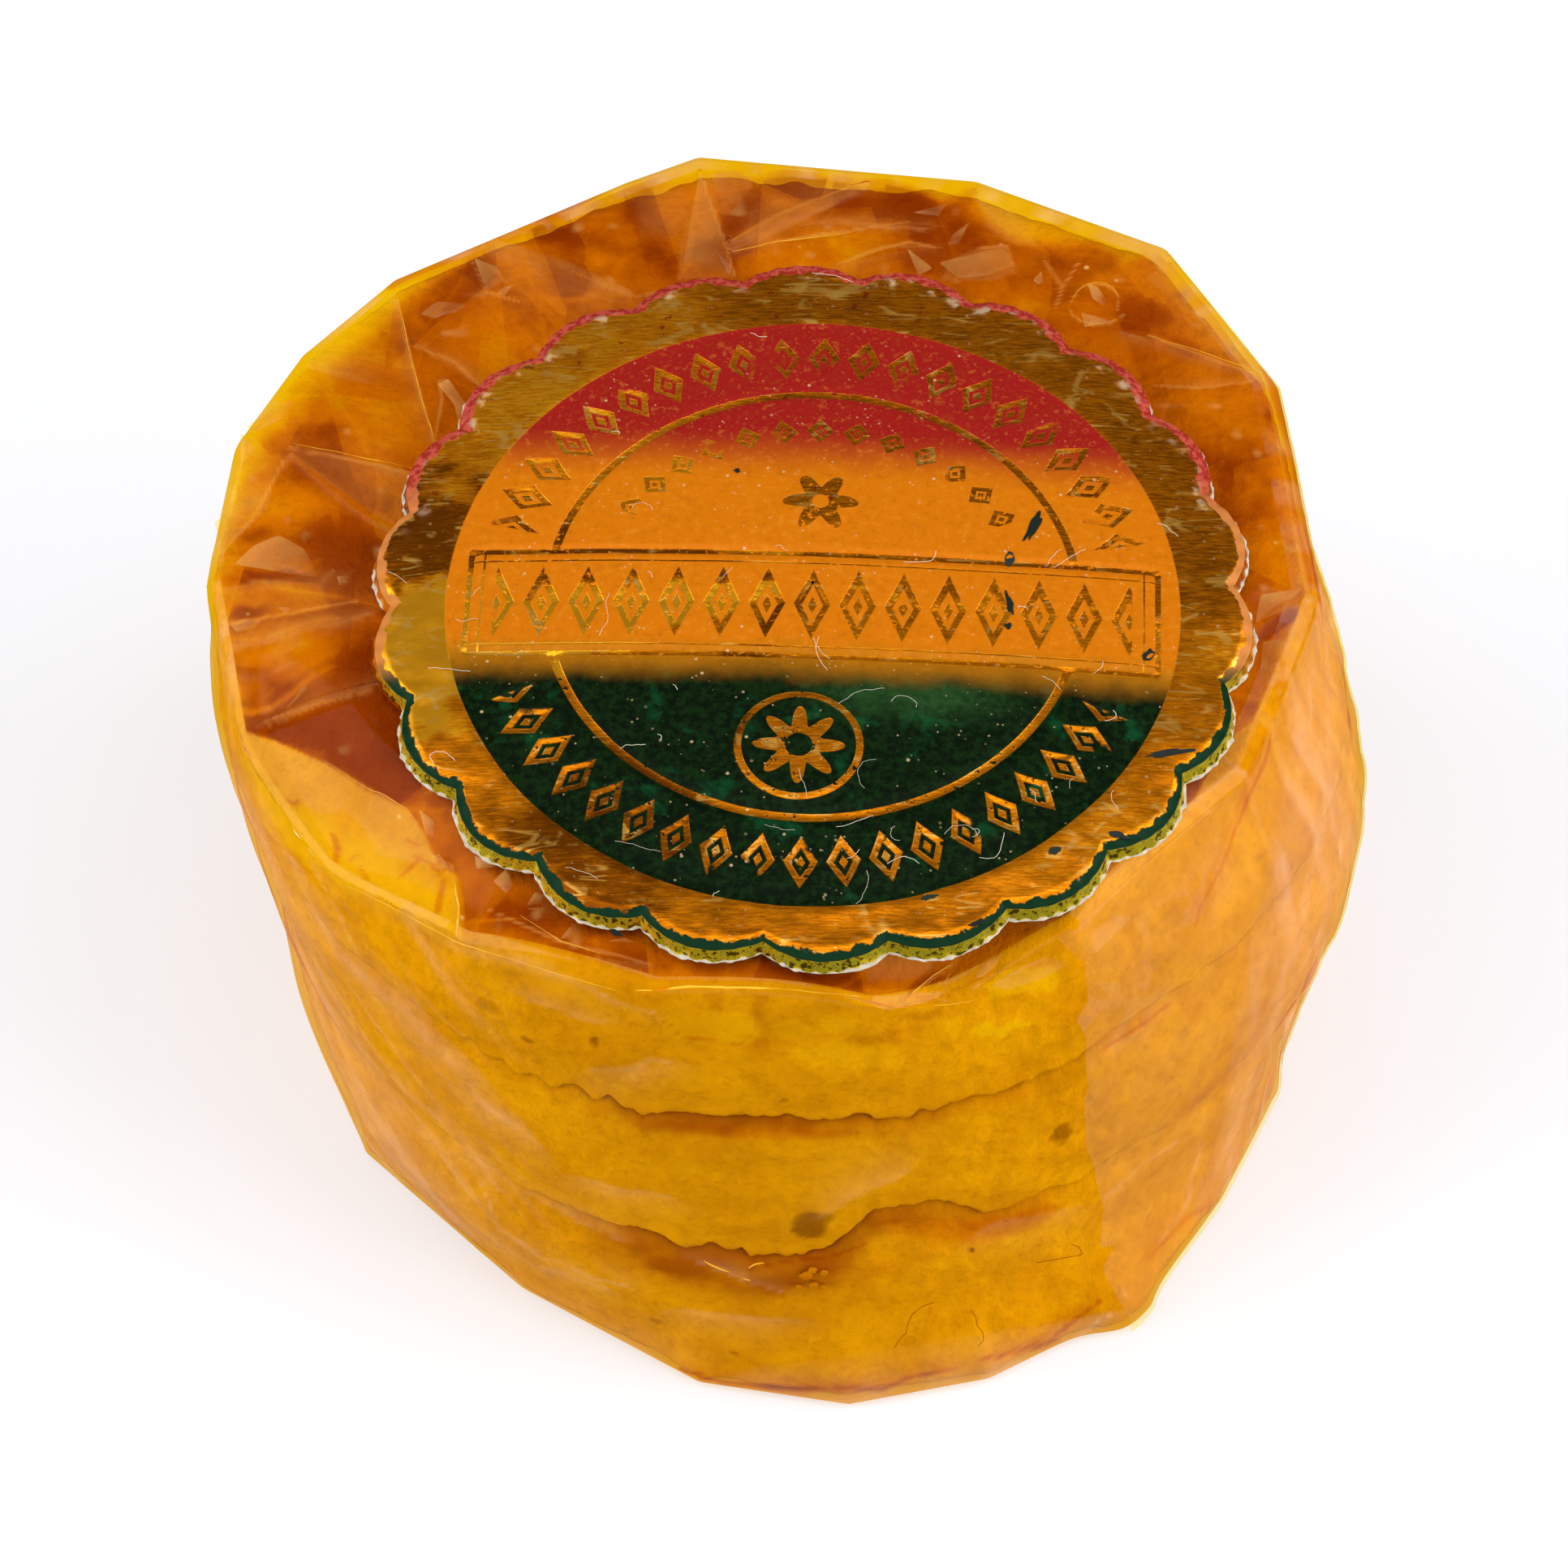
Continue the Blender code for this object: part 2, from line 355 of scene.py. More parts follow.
class Graph:
    """Builds one material. An input may be a number, a colour or another node's output."""

    def __init__(self, name):
        self.material = bpy.data.materials.new(name)
        self.material.use_nodes = True
        self.tree = self.material.node_tree
        self.tree.nodes.clear()

    def add(self, kind, inputs=None, output=0, **settings):
        node = self.tree.nodes.new("ShaderNode" + kind)
        for key, value in settings.items():
            setattr(node, key, value)
        for key, value in (inputs or {}).items():
            if isinstance(value, bpy.types.NodeSocket):
                self.tree.links.new(value, node.inputs[key])
            else:
                node.inputs[key].default_value = value
        return node.outputs[output]

    def math(self, operation, *values):
        return self.add("Math", dict(enumerate(values)), operation=operation)

    def times(self, *values):
        return reduce(partial(self.math, "MULTIPLY"), values)

    def largest(self, *values):
        return reduce(partial(self.math, "MAXIMUM"), values)

    def minus(self, value, other):
        return self.math("SUBTRACT", value, other)

    def times_plus(self, value, factor, added):
        return self.math("MULTIPLY_ADD", value, factor, added)

    def place(self):
        """The point in metres, in the pack's frame."""
        return self.add("TexCoord", output="Object")

    def noise(self, size, detail=3.0, where=None, roughness=0.55, distortion=0.0):
        """Cloudy noise, from 0 to 1, whose blobs are about one size (mm) wide."""
        inputs = {"Vector": where or self.place(), "Scale": 1.0 / (size * METRE), "Detail": detail,
                  "Roughness": roughness, "Distortion": distortion}
        return self.add("TexNoise", inputs)

    def band(self, value, low, high):
        """0 below low, 1 above high, with a smooth step between; low may be above high."""
        inputs = {"Value": value, "From Min": low, "From Max": high}
        return self.add("MapRange", inputs, interpolation_type="SMOOTHSTEP")

    def near(self, value, centre, half_width, soft=0.06):
        """1 where the value is within half a width of the centre."""
        away = self.math("ABSOLUTE", self.minus(value, centre))
        return self.band(away, half_width + soft / 2, half_width - soft / 2)

    def mix(self, share, first, second):
        inputs = {0: share, 6: colour(first), 7: colour(second)}
        return self.add("Mix", inputs, output=2, data_type="RGBA")

    def bump(self, height, strength, distance):
        return self.add("Bump", {"Height": height, "Strength": strength, "Distance": distance * METRE})

    def attribute(self, name):
        return self.add("Attribute", output="Fac", attribute_name=name)

    def finish(self, shader):
        target = self.tree.nodes.new("ShaderNodeOutputMaterial")
        self.tree.links.new(shader, target.inputs["Surface"])
        return self.material


def colour(value):
    return value if isinstance(value, bpy.types.NodeSocket) else (*value, 1.0)


def plain_material(name, roughness, first, second=None, size=1.0):
    """One colour, or two that are mixed by cloudy noise of this size (mm)."""
    graph = Graph(name)
    tone = first if second is None else graph.mix(graph.noise(size), first, second)
    return graph.finish(graph.add("BsdfPrincipled", {"Base Color": colour(tone), "Roughness": roughness}))


# The film's own colour for one pass of light: one layer, and where it lies a few and many layers deep. The
# deepest tint also holds painted shade, darker than the layers alone would make it
FILM_TINT = (0.93, 0.685, 0.012)
MIDDLE_TINT = (0.85, 0.49, 0.006)
DEEP_TINT_AND_SHADE = (0.57, 0.24, 0.004)
SECOND_TINT = (0.99, 0.965, 0.55)
FILM_MIRROR = 0.010
FILM_ROUGHNESS = 0.10
# Colours of the painted sheen, a pale diffuse colour that stands in for the light slack film reflects, on the
# side and through the folded top
SIDE_SHEEN = (1.0, 0.66, 0.46)
TOP_SHEEN = (1.0, 0.60, 0.17)


# Layers of folded film that overlap: the way they run, how wide they are and how much they darken
FOLDED_LAYERS = ((-62, 6.5, 1.1), (38, 3.6, 0.8))


def film_material(name, tint=FILM_TINT, pale=SIDE_SHEEN, sheen_strength=0.26, mirror=FILM_MIRROR,
                  folds=False, clings=False):
    """Thin glossy film: tinted light goes through, and a painted sheen, a pale diffuse colour, lies on its
    slack parts where marked.
    """
    graph = Graph(name)
    normal = graph.bump(graph.noise(1.3, detail=2.0), 0.35, 0.05)
    facing = graph.add("LayerWeight", {"Blend": 0.5, "Normal": normal}, output="Facing")
    share = graph.times_plus(graph.math("POWER", facing, 8.0), 0.14, mirror)
    depth = graph.attribute("depth")
    varied = graph.minus(graph.noise(2.0, detail=4.0, roughness=0.6), 0.5)
    if folds:
        for turn, size, strength in FOLDED_LAYERS:
            where = graph.add("Mapping", {"Vector": graph.place(), "Rotation": (0.0, 0.0, math.radians(turn)),
                                          "Scale": (1.0 / (size * METRE), 0.42 / (size * METRE), 0.0)})
            cell = graph.add("TexVoronoi", {"Vector": where, "Scale": 1.0}, output="Color")
            varied = graph.times_plus(graph.minus(cell, 0.5), strength, varied)
    thick = graph.times_plus(varied, depth, depth)
    through = graph.mix(graph.band(thick, 0.0, 0.4), tint, MIDDLE_TINT)
    through = graph.mix(graph.band(thick, 0.35, 1.1), through, DEEP_TINT_AND_SHADE)
    clear = graph.add("BsdfTransparent", {"Color": through})
    gloss = graph.add("BsdfGlossy", {"Color": (1, 1, 1, 1), "Roughness": FILM_ROUGHNESS, "Normal": normal})
    body = graph.add("MixShader", {0: share, 1: clear, 2: gloss})
    # Painted sheen where marked, broken up by noise; dust specks and patches of sheen join it below
    sheen_and_dust = graph.math("ADD", graph.noise(1.8, detail=2.0), 0.5)
    sheen_and_dust = graph.times(graph.attribute("painted_sheen"), sheen_and_dust)
    if folds:
        grit = graph.add("TexVoronoi", {"Vector": graph.place(), "Scale": 0.42 / METRE, "Randomness": 1.0})
        grit = graph.times(graph.band(grit, 0.10, 0.04), graph.band(graph.noise(2.5, detail=1.0), 0.42, 0.55))
        sheen_and_dust = graph.largest(sheen_and_dust, graph.times(grit, 2.0))
    # Patches of painted sheen where the film stands off, between the parts where it clings
    if clings:
        patches = graph.band(graph.noise(3.4, detail=2.5, distortion=0.6), 0.492, 0.508)
        sheen_and_dust = graph.largest(sheen_and_dust, graph.times(patches, graph.attribute("patchy")))
    # The painted sheen: a pale diffuse colour mixed over the clear film
    painted_sheen = graph.add("BsdfDiffuse", {"Color": (*pale, 1.0)})
    shader = graph.add("MixShader", {0: graph.times(sheen_and_dust, sheen_strength), 1: body, 2: painted_sheen})
    return graph.finish(shader)


def sweet_material():
    """Dense cashew paste, slightly greasy, mottled and pitted, with brown stains, darker brown patches,
    painted shade in its gaps and hollows and painted light on its palest parts, where marked.
    """
    graph = Graph("cashew_sweet")
    flattened = graph.add("VectorMath", {0: graph.place(), 1: (1.0, 1.0, 0.65)}, operation="MULTIPLY")
    cloud = graph.noise(6.0, detail=4.0)
    mottle = graph.noise(1.7, detail=5.0, where=flattened, roughness=0.68)
    grain = graph.noise(0.55, detail=3.0)
    base = graph.mix(graph.band(cloud, 0.32, 0.68), (0.76, 0.52, 0.29), (0.88, 0.66, 0.42))
    base = graph.mix(graph.times(graph.band(mottle, 0.46, 0.66), 0.35), base, (0.60, 0.36, 0.18))
    base = graph.mix(graph.times(graph.band(mottle, 0.44, 0.30), 0.40), base, (0.97, 0.82, 0.60))
    base = graph.mix(graph.times(graph.band(grain, 0.52, 0.68), 0.26), base, (0.50, 0.30, 0.15))
    # Painted light on the palest parts, then darker brown patches with painted shade in the gaps and hollows,
    # then brown stains with painted shade in the crevices
    base = graph.mix(graph.attribute("pale"), base, (1.0, 0.98, 0.62))
    base = graph.mix(graph.attribute("brown_and_shade"), base, (0.46, 0.19, 0.06))
    base = graph.mix(graph.attribute("stain_and_shade"), base, (0.24, 0.09, 0.04))
    height = graph.math("ADD", graph.times(grain, 0.25), mottle)
    normal = graph.bump(height, 0.75, 0.35)
    shader = graph.add("BsdfPrincipled", {"Base Color": base, "Roughness": 0.5, "Normal": normal,
                                          "Specular IOR Level": 0.3})
    return graph.finish(shader)


# The three discs from the top: name, lowest and highest point, corner radius of the upper edge, and seed
SWEETS = (
    ("sweet_top", 29.6, 41.9, 1.9, 3),
    ("sweet_middle", 15.6, 29.0, 1.3, 11),
    ("sweet_bottom", 0.5, 14.6, 1.7, 23),
)
FILM_GAP = 0.13
# The discs follow the film's creases with this share of their depth
CREASE_SHARE = 0.7
# Chance round the discs is taken from a ring of this radius
CHANCE_RING = 31.0
EDGE_INSETS = ((88, 0.5, 34), (-90, 0.2, 45))
SWEET_COLUMNS = 800

# Brown marks on the discs: angle, height, half width, half height, strength
STAINS = (
    (-87.3, 17.2, 0.95, 1.5, 0.75), (-85.6, 18.1, 0.65, 0.5, 0.55), (-59.1, 21.8, 0.6, 1.05, 0.62),
    (-59.4, 27.0, 1.6, 1.1, 0.18), (-119.8, 34.6, 0.8, 0.6, 0.35), (-93.4, 28.4, 0.8, 0.5, 0.45),
    (-115.6, 32.9, 0.45, 0.3, 0.6), (-107.7, 34.9, 0.2, 0.4, 0.7), (-88.4, 31.0, 0.18, 0.16, 0.8),
    (-69.8, 11.9, 0.22, 0.18, 0.9), (-74.3, 3.0, 0.5, 0.25, 0.6), (-105.9, 4.5, 0.4, 0.3, 0.45),
    (-97, 3.4, 0.25, 0.2, 0.5),
)


def edge_wave(angle, seed, coarse, fine):
    """Raggedness of a disc's edge, in mm, round the stack."""
    ring = on_circle(angle, CHANCE_RING)
    return coarse * noise(ring, 9.0, seed) + fine * rough_noise(ring, 2.2, seed + 5)


# The ragged lower edges of the two upper discs, by the photo's pixels
FRONT_EDGES = {
    "sweet_top": (
        (500, 1255), (545, 1279), (575, 1291), (595, 1302), (633, 1323), (669, 1331), (677, 1341),
        (702, 1343), (728, 1358), (747, 1359), (766, 1370), (779, 1373), (785, 1381), (811, 1377),
        (838, 1382), (881, 1380), (924, 1385), (956, 1386), (1015, 1388), (1067, 1386), (1110, 1382),
        (1148, 1380), (1161, 1370), (1182, 1365), (1201, 1362), (1228, 1358), (1268, 1341), (1330, 1325),
        (1400, 1295),
    ),
    "sweet_middle": (
        (560, 1430), (598, 1452), (663, 1478), (692, 1490), (721, 1502), (760, 1517), (813, 1534),
        (842, 1544), (878, 1543), (887, 1548), (911, 1545), (923, 1556), (1025, 1548), (1054, 1519),
        (1082, 1499), (1110, 1496), (1131, 1491), (1148, 1488), (1174, 1491), (1201, 1497), (1217, 1500),
        (1255, 1491), (1281, 1479), (1316, 1468), (1351, 1460), (1400, 1436),
    ),
}
# Painted light where the top disc's ragged edge is pressed against the film, and painted shade in the hollows
# between: strength and pixels
LOBES = (
    (0.40, ((808, 1256), (830, 1251), (868, 1250), (879, 1262), (877, 1284), (850, 1283), (822, 1275))),
    (0.50, ((878, 1252), (905, 1248), (930, 1254), (932, 1272), (922, 1286), (900, 1289), (880, 1283))),
    (0.35, ((948, 1262), (975, 1256), (998, 1262), (990, 1280), (960, 1284))),
    (0.45, ((1009, 1257), (1030, 1252), (1056, 1258), (1050, 1272), (1025, 1276), (1010, 1270))),
    (0.35, ((970, 1296), (1010, 1290), (1030, 1284), (1055, 1290), (1100, 1288), (1122, 1312), (1050, 1320),
        (980, 1314))),
    (0.90, ((1191, 1277), (1200, 1267), (1222, 1261), (1266, 1257), (1272, 1264), (1258, 1270), (1230, 1275),
        (1208, 1279))),
    (0.40, ((1150, 1262), (1172, 1256), (1188, 1262), (1180, 1278), (1155, 1280))),
    (0.75, ((1211, 1214), (1240, 1202), (1280, 1190), (1310, 1192), (1306, 1212), (1270, 1222),
        (1225, 1227))),
)
HOLLOWS = (
    (0.40, ((926, 1223), (946, 1223), (946, 1251), (928, 1250))),
    (0.30, ((924, 1276), (946, 1275), (944, 1299), (926, 1297))),
    (0.40, ((1106, 1262), (1120, 1249), (1160, 1246), (1150, 1258))),
    (0.30, ((868, 1226), (890, 1226), (888, 1250), (870, 1250))),
    (0.30, ((1050, 1278), (1100, 1272), (1120, 1282), (1060, 1288))),
)
# Painted light where the top disc is palest: under the front facet and at the back left
YELLOW_FRONT = (
    (300, 935), (345, 985), (400, 1010), (450, 1036), (500, 1062), (560, 1098), (567, 1160), (501, 1127),
    (425, 1091), (374, 1062), (329, 1010),
)
YELLOW_LEFT = (
    (300, 470), (345, 405), (400, 365), (480, 325), (505, 350), (440, 425), (380, 475), (330, 530),
    (300, 610), (255, 680), (240, 640), (250, 560),
)
DISC_ABOVE = {"sweet_middle": "sweet_top", "sweet_bottom": "sweet_middle"}


def lowest_edge(name, angle):
    """A disc's lower edge: as in the photo at the front, and ragged by chance behind."""
    _, low, _, _, seed = next(spec for spec in SWEETS if spec[0] == name)
    level = low + edge_wave(angle, seed, 0.25, 0.30)
    if name in FRONT_EDGES:
        seen_turn, seen_height = side_place(FRONT_EDGES[name])
        order = np.argsort(seen_turn)
        turn = turn_between(angle, 0.0)
        drawn = np.interp(turn, seen_turn[order], seen_height[order]) + edge_wave(angle, seed, 0.0, 0.35)
        drawn = drawn + 0.5 * rough_noise(on_circle(angle, CHANCE_RING), 0.85, seed + 80, 3)
        counts = smooth_step((turn - seen_turn.min()) / 12.0) * smooth_step((seen_turn.max() - turn) / 12.0)
        level = level + (drawn - level) * counts
    return level


def gap_shows(angle):
    """The gaps are open at the front, pressed nearly shut beside it and half open behind."""
    front = smooth_step(turn_between(angle, -127) / 24.0) * smooth_step(turn_between(-48, angle) / 22.0)
    return 0.12 + 0.88 * front + 0.5 * bell(turn_between(angle, 90), 75)


def sweet_levels(spec, angle):
    name, _, high, _, seed = spec
    if name in DISC_ABOVE:
        opening = gap_shows(angle) * (0.17 + 0.25 * np.abs(edge_wave(angle, seed + 40, 0.6, 0.5)))
        highest = lowest_edge(DISC_ABOVE[name], angle) - 0.05 - opening
    else:
        highest = high + edge_wave(angle, seed + 40, 0.45, 0.15)
    return lowest_edge(name, angle), highest


def held_reach(angle, height):
    """How far the film lets the discs reach: they follow its creases less deeply."""
    return side_radius(angle, height) + CREASE_SHARE * side_relief(angle, height)


def sweet_radius(spec, angle, height):
    """How far a disc reaches from the axis at each height, held in by the film."""
    name, low, _, corner, seed = spec
    lowest, highest = sweet_levels(spec, angle)
    inset, wave = 0.0 * angle, 1.0 + edge_wave(angle, seed + 60, 0.6, 0.5)
    for at, depth, width in EDGE_INSETS:
        inset = inset + depth * bell(turn_between(angle, at), width) * wave
    inset = inset + 0.5 * bell(turn_between(angle, 85), 42) * (0.6 + edge_wave(angle, seed + 70, 0.8, 0.9))
    held = held_reach(angle, height) - FILM_GAP - 0.75 * inset
    from_top = np.clip(1.0 - (highest - height) / corner, 0.0, 1.0)
    squarer = 1.0 - 0.75 * bell(turn_between(angle, 165), 42)
    rounding = corner * 0.8 * (1.0 - np.sqrt(1.0 - from_top ** 2)) * squarer
    if name in DISC_ABOVE:
        rounding = 0.5 * rounding * gap_shows(angle)
    lip = 0.10 * np.exp(-np.maximum(height - lowest, 0.0) / 0.8)
    under = np.clip(1.0 - (height - lowest) / 0.5, 0.0, 1.0)
    on_floor = low < 1.0
    open_under = 0.1 + 0.9 * bell(turn_between(angle, -78), 26) if on_floor else gap_shows(angle)
    return np.minimum(held - rounding - 0.12 + lip, held) - 0.20 * under ** 2 * open_under


def make_sweet(spec, material):
    name, _, high, corner, seed = spec
    angle = np.linspace(0, 360, SWEET_COLUMNS, endpoint=False)
    lowest, highest = sweet_levels(spec, angle)
    rows = []
    for share in (0.0, 0.5, 0.9):
        edge = sweet_radius(spec, angle, lowest + 0.02)
        rows.append(skin_point(angle, edge * share, lowest + 0.25 * (1.0 - share)))
    steps = [np.linspace(0.0, 0.12, 6), np.linspace(0.16, 0.72, 30), np.linspace(0.735, 1.0, 20)]
    for share in np.concatenate(steps):
        height = lowest + (highest - lowest) * share
        rows.append(skin_point(angle, sweet_radius(spec, angle, height), height))
    edge = sweet_radius(spec, angle, highest)
    inward = 36 if name == "sweet_top" else 5
    for share in np.linspace(0.0, 1.0, inward + 1)[1:-1]:
        rows.append(skin_point(angle, edge * (1.0 - share), highest + 0.15 * smooth_step(share * 6)))
    rows.append(skin_point(angle, edge * 0.0 + 0.01, highest * 0.0 + high + 0.15))
    grid = np.stack(rows)
    turn, radius = about_axis(grid)
    outward = on_circle(turn)
    facing_out = smooth_step((radius - (edge.mean() - corner)) / corner)
    relief = 0.16 * rough_noise(grid, 2.6, seed) + 0.14 * np.minimum(noise(grid, 1.1, seed + 7), 0.2)
    relief = relief + 0.06 * noise(grid, 0.5, seed + 8)
    grid = grid + outward * (relief * facing_out - 0.1)[..., None]
    bumps = 0.22 * rough_noise(grid, 4.0, seed + 9) + 0.08 * noise(grid, 1.2, seed + 12)
    grid[..., 2] += bumps * (1.0 - facing_out)
    turn, radius = about_axis(grid)
    limit = held_reach(turn, grid[..., 2]) - FILM_GAP
    pull = np.minimum(1.0, limit / np.maximum(radius, 1e-6))
    x, y = axis_at(grid[..., 2])
    grid[..., 0] = x + (grid[..., 0] - x) * pull
    grid[..., 1] = y + (grid[..., 1] - y) * pull
    ceiling = top_height(grid[..., 0], grid[..., 1]) - FILM_GAP
    grid[..., 2] = np.clip(np.minimum(grid[..., 2], ceiling), 0.25, None)
    turn, radius = about_axis(grid)
    stain_and_shade = 0.0 * turn
    for at, level, wide, tall, strength in STAINS:
        along = np.radians(turn_between(turn, at)) * radius
        blot = (along / wide) ** 2 + ((grid[..., 2] - level) / tall) ** 2
        stain_and_shade = np.maximum(stain_and_shade, strength * smooth_step(1.6 - blot + 0.5 * noise(grid, 0.6, 77)))
    stain_and_shade = stain_and_shade * (radius > 26)
    # Darker brown mottled patches on the top disc's upper face
    under_top = (1.0 - facing_out) * smooth_step(0.5 + 1.1 * rough_noise(grid, 7.0, seed + 30))
    # Painted shade in the gaps: a brown band below each lower disc's upper edge, under the overhang of the
    # disc above, widest on the bottom disc at the front
    wide = bell(turn_between(turn, -95), 25) * (name == "sweet_bottom")
    below = (highest - grid[..., 2]) / (1.2 + 2.8 * wide)
    below = np.clip(below + 0.5 * rough_noise(grid, 2.0, seed + 35), 0, None)
    gap_shade = np.exp(-below ** 3) * (1.0 + 0.5 * rough_noise(grid, 1.6, seed + 33))
    shows = np.maximum(gap_shows(turn), 0.9 * wide) * (name != "sweet_top")
    gap_shade = gap_shade * np.maximum(0.3 + 0.7 * bell(turn_between(turn, -93), 13), wide)
    # Painted shade: a thin dark line in the crevice along each lower disc's upper edge
    stain_and_shade = np.maximum(stain_and_shade, 0.28 * bell(grid[..., 2] - highest, 0.35) * shows)
    brown_and_shade = 0.35 * under_top * (name == "sweet_top") + gap_shade * shows
    pale = 0.0 * turn
    if name == "sweet_top":
        seen = to_photo(grid)
        shaken = seen + 8.0 * stack_of(noise(grid, 0.9, 411), noise(grid, 0.9, 413))
        # Painted light on the lobes and palest parts of the top disc, and painted shade in the hollows
        for amount, corners in LOBES:
            pale = np.maximum(pale, 0.65 * amount * on_area(shaken, corners, 4.0))
        pale = np.maximum(pale, 0.5 * on_area(shaken, YELLOW_FRONT, 22.0) * (grid[..., 2] > 33.0))
        pale = np.maximum(pale, on_area(shaken, YELLOW_LEFT, 45.0))
        brown_and_shade = brown_and_shade * (1.0 - 0.9 * pale)
        for amount, corners in HOLLOWS:
            brown_and_shade = brown_and_shade + amount * on_area(shaken, corners, 7.0)
    marks = {"stain_and_shade": stain_and_shade, "brown_and_shade": np.clip(brown_and_shade, 0, 1), "pale": pale}
    return grid_piece(name, grid, material, closed=True, attributes=marks)


# What the photo shows in the film, by its pixels. Painted sheen stands in for the pale light slack film
# reflects in long bands:
# each is its half width, how strong, and the pixels it runs through. First the side's.
SIDE_BANDS = (
    (9, 0.60, ((288, 975), (318, 1075), (345, 1150), (366, 1235), (378, 1290))),
    (8, 0.50, ((378, 1290), (418, 1365), (455, 1412))),
    (7, 0.50, ((350, 1046), (415, 1173), (501, 1249), (546, 1300), (600, 1365), (671, 1417))),
    (3, 0.45, ((387, 1067), (453, 1204), (535, 1290))),
    (6, 0.42, ((369, 1188), (413, 1247), (457, 1314), (504, 1385), (592, 1443))),
    (5, 0.45, ((481, 1323), (545, 1385), (592, 1432), (618, 1470))),
    (6, 0.45, ((387, 1267), (428, 1341), (466, 1393), (504, 1437), (589, 1517), (663, 1561), (751, 1590))),
    (5, 0.40, ((589, 1449), (613, 1511), (677, 1555), (774, 1590))),
    (6, 0.30, ((692, 1446), (756, 1464), (828, 1477))), (4, 0.35, ((627, 1220), (704, 1250), (745, 1263))),
    (7, 0.28, ((730, 1320), (765, 1319), (800, 1307), (828, 1311))),
    (5, 0.30, ((640, 1464), (694, 1488), (734, 1512), (769, 1526))),
    (6, 0.30, ((817, 1615), (903, 1623), (989, 1625))), (3, 0.35, ((842, 1548), (895, 1568), (960, 1591))),
    (2, 0.45, ((425, 1089), (501, 1125), (560, 1163), (694, 1205), (747, 1226), (811, 1251))),
    (9, 1.00, ((500, 1515), (640, 1610), (740, 1660), (836, 1702))),
    (9, 1.00, ((836, 1702), (900, 1722), (990, 1732), (1100, 1727), (1200, 1700), (1300, 1668),
        (1365, 1622))),
    (8, 0.20, ((1010, 1500), (1050, 1470), (1120, 1440))),
    (9, 0.18, ((1204, 1520), (1240, 1508), (1330, 1488))),
)
# Painted sheen on slack film all along the left outline
PALE_LEFT = (
    (200, 860), (262, 900), (320, 1000), (350, 1080), (400, 1180), (440, 1290), (520, 1420), (600, 1520),
    (500, 1560), (300, 1350), (200, 1050),
)
# Thin dark creases of the side, and painted shade along the gaps between the discs, the same way
SIDE_CREASES_AND_SHADE = (
    (16, 0.45, ((1560, 440), (1598, 540), (1608, 640), (1622, 720))),
    (26, 0.42, ((480, 345), (560, 300), (650, 262), (740, 225))),
    (12, 0.22, ((255, 560), (246, 640), (242, 740))),
    (19, 0.12, ((650, 1500), (700, 1532), (780, 1562), (860, 1582), (960, 1590), (1060, 1572), (1140, 1545),
        (1200, 1532))),
    (15, 0.28, ((1075, 1512), (1130, 1512), (1190, 1518), (1250, 1508), (1300, 1490))),
    (8, 0.26, ((820, 1385), (880, 1393), (960, 1397), (1060, 1396))),
    (3.5, 0.9, ((838, 1687), (887, 1703), (923, 1707), (989, 1711), (1087, 1711), (1127, 1695),
        (1201, 1679))),
    (3.0, 0.8, ((1201, 1679), (1291, 1654), (1331, 1621), (1360, 1601))),
    (2.5, 0.5, ((1566, 910), (1559, 938), (1538, 984), (1519, 1028))),
    (3.0, 0.3, ((1501, 1479), (1464, 1500), (1445, 1518), (1419, 1548))),
    (2.5, 0.4, ((1524, 1020), (1506, 1067), (1479, 1117), (1474, 1142))),
    (2.5, 0.4, ((1439, 1239), (1404, 1264), (1350, 1301))),
    (9.0, 0.12, ((1524, 1269), (1516, 1331), (1462, 1368))),
    (2.0, 0.5, ((923, 1564), (972, 1554), (1025, 1548), (1070, 1532))),
    (2.0, 0.4, ((811, 1251), (838, 1276), (916, 1287), (929, 1268))),
)
# The same painted sheen bands on the second layer, at the right
SECOND_BANDS = (
    (6, 0.60, ((1607, 640), (1617, 729), (1625, 793), (1607, 920), (1584, 1040))),
    (10, 0.50, ((1622, 729), (1637, 818), (1627, 920), (1607, 1040), (1575, 1140))),
    (7, 0.65, ((1617, 673), (1648, 783), (1653, 823))),
    (8, 0.65, ((1640, 834), (1637, 946), (1625, 1040), (1600, 1150))),
    (3, 0.45, ((1668, 870), (1662, 972))),
    (6, 0.80, ((1657, 1020), (1647, 1083), (1622, 1161), (1595, 1205))),
    (3, 0.45, ((1601, 1070), (1591, 1146))),
    (18, 0.55, ((1610, 1080), (1590, 1180), (1555, 1300), (1530, 1370), (1500, 1440))),
    (14, 0.40, ((1640, 1180), (1600, 1270), (1560, 1370), (1520, 1450))),
    (9, 0.40, ((1453, 1407), (1401, 1440), (1362, 1479))),
    (7, 0.40, ((1480, 1400), (1465, 1481), (1427, 1535))),
    (12, 0.25, ((1420, 1160), (1390, 1250), (1370, 1330))),
)
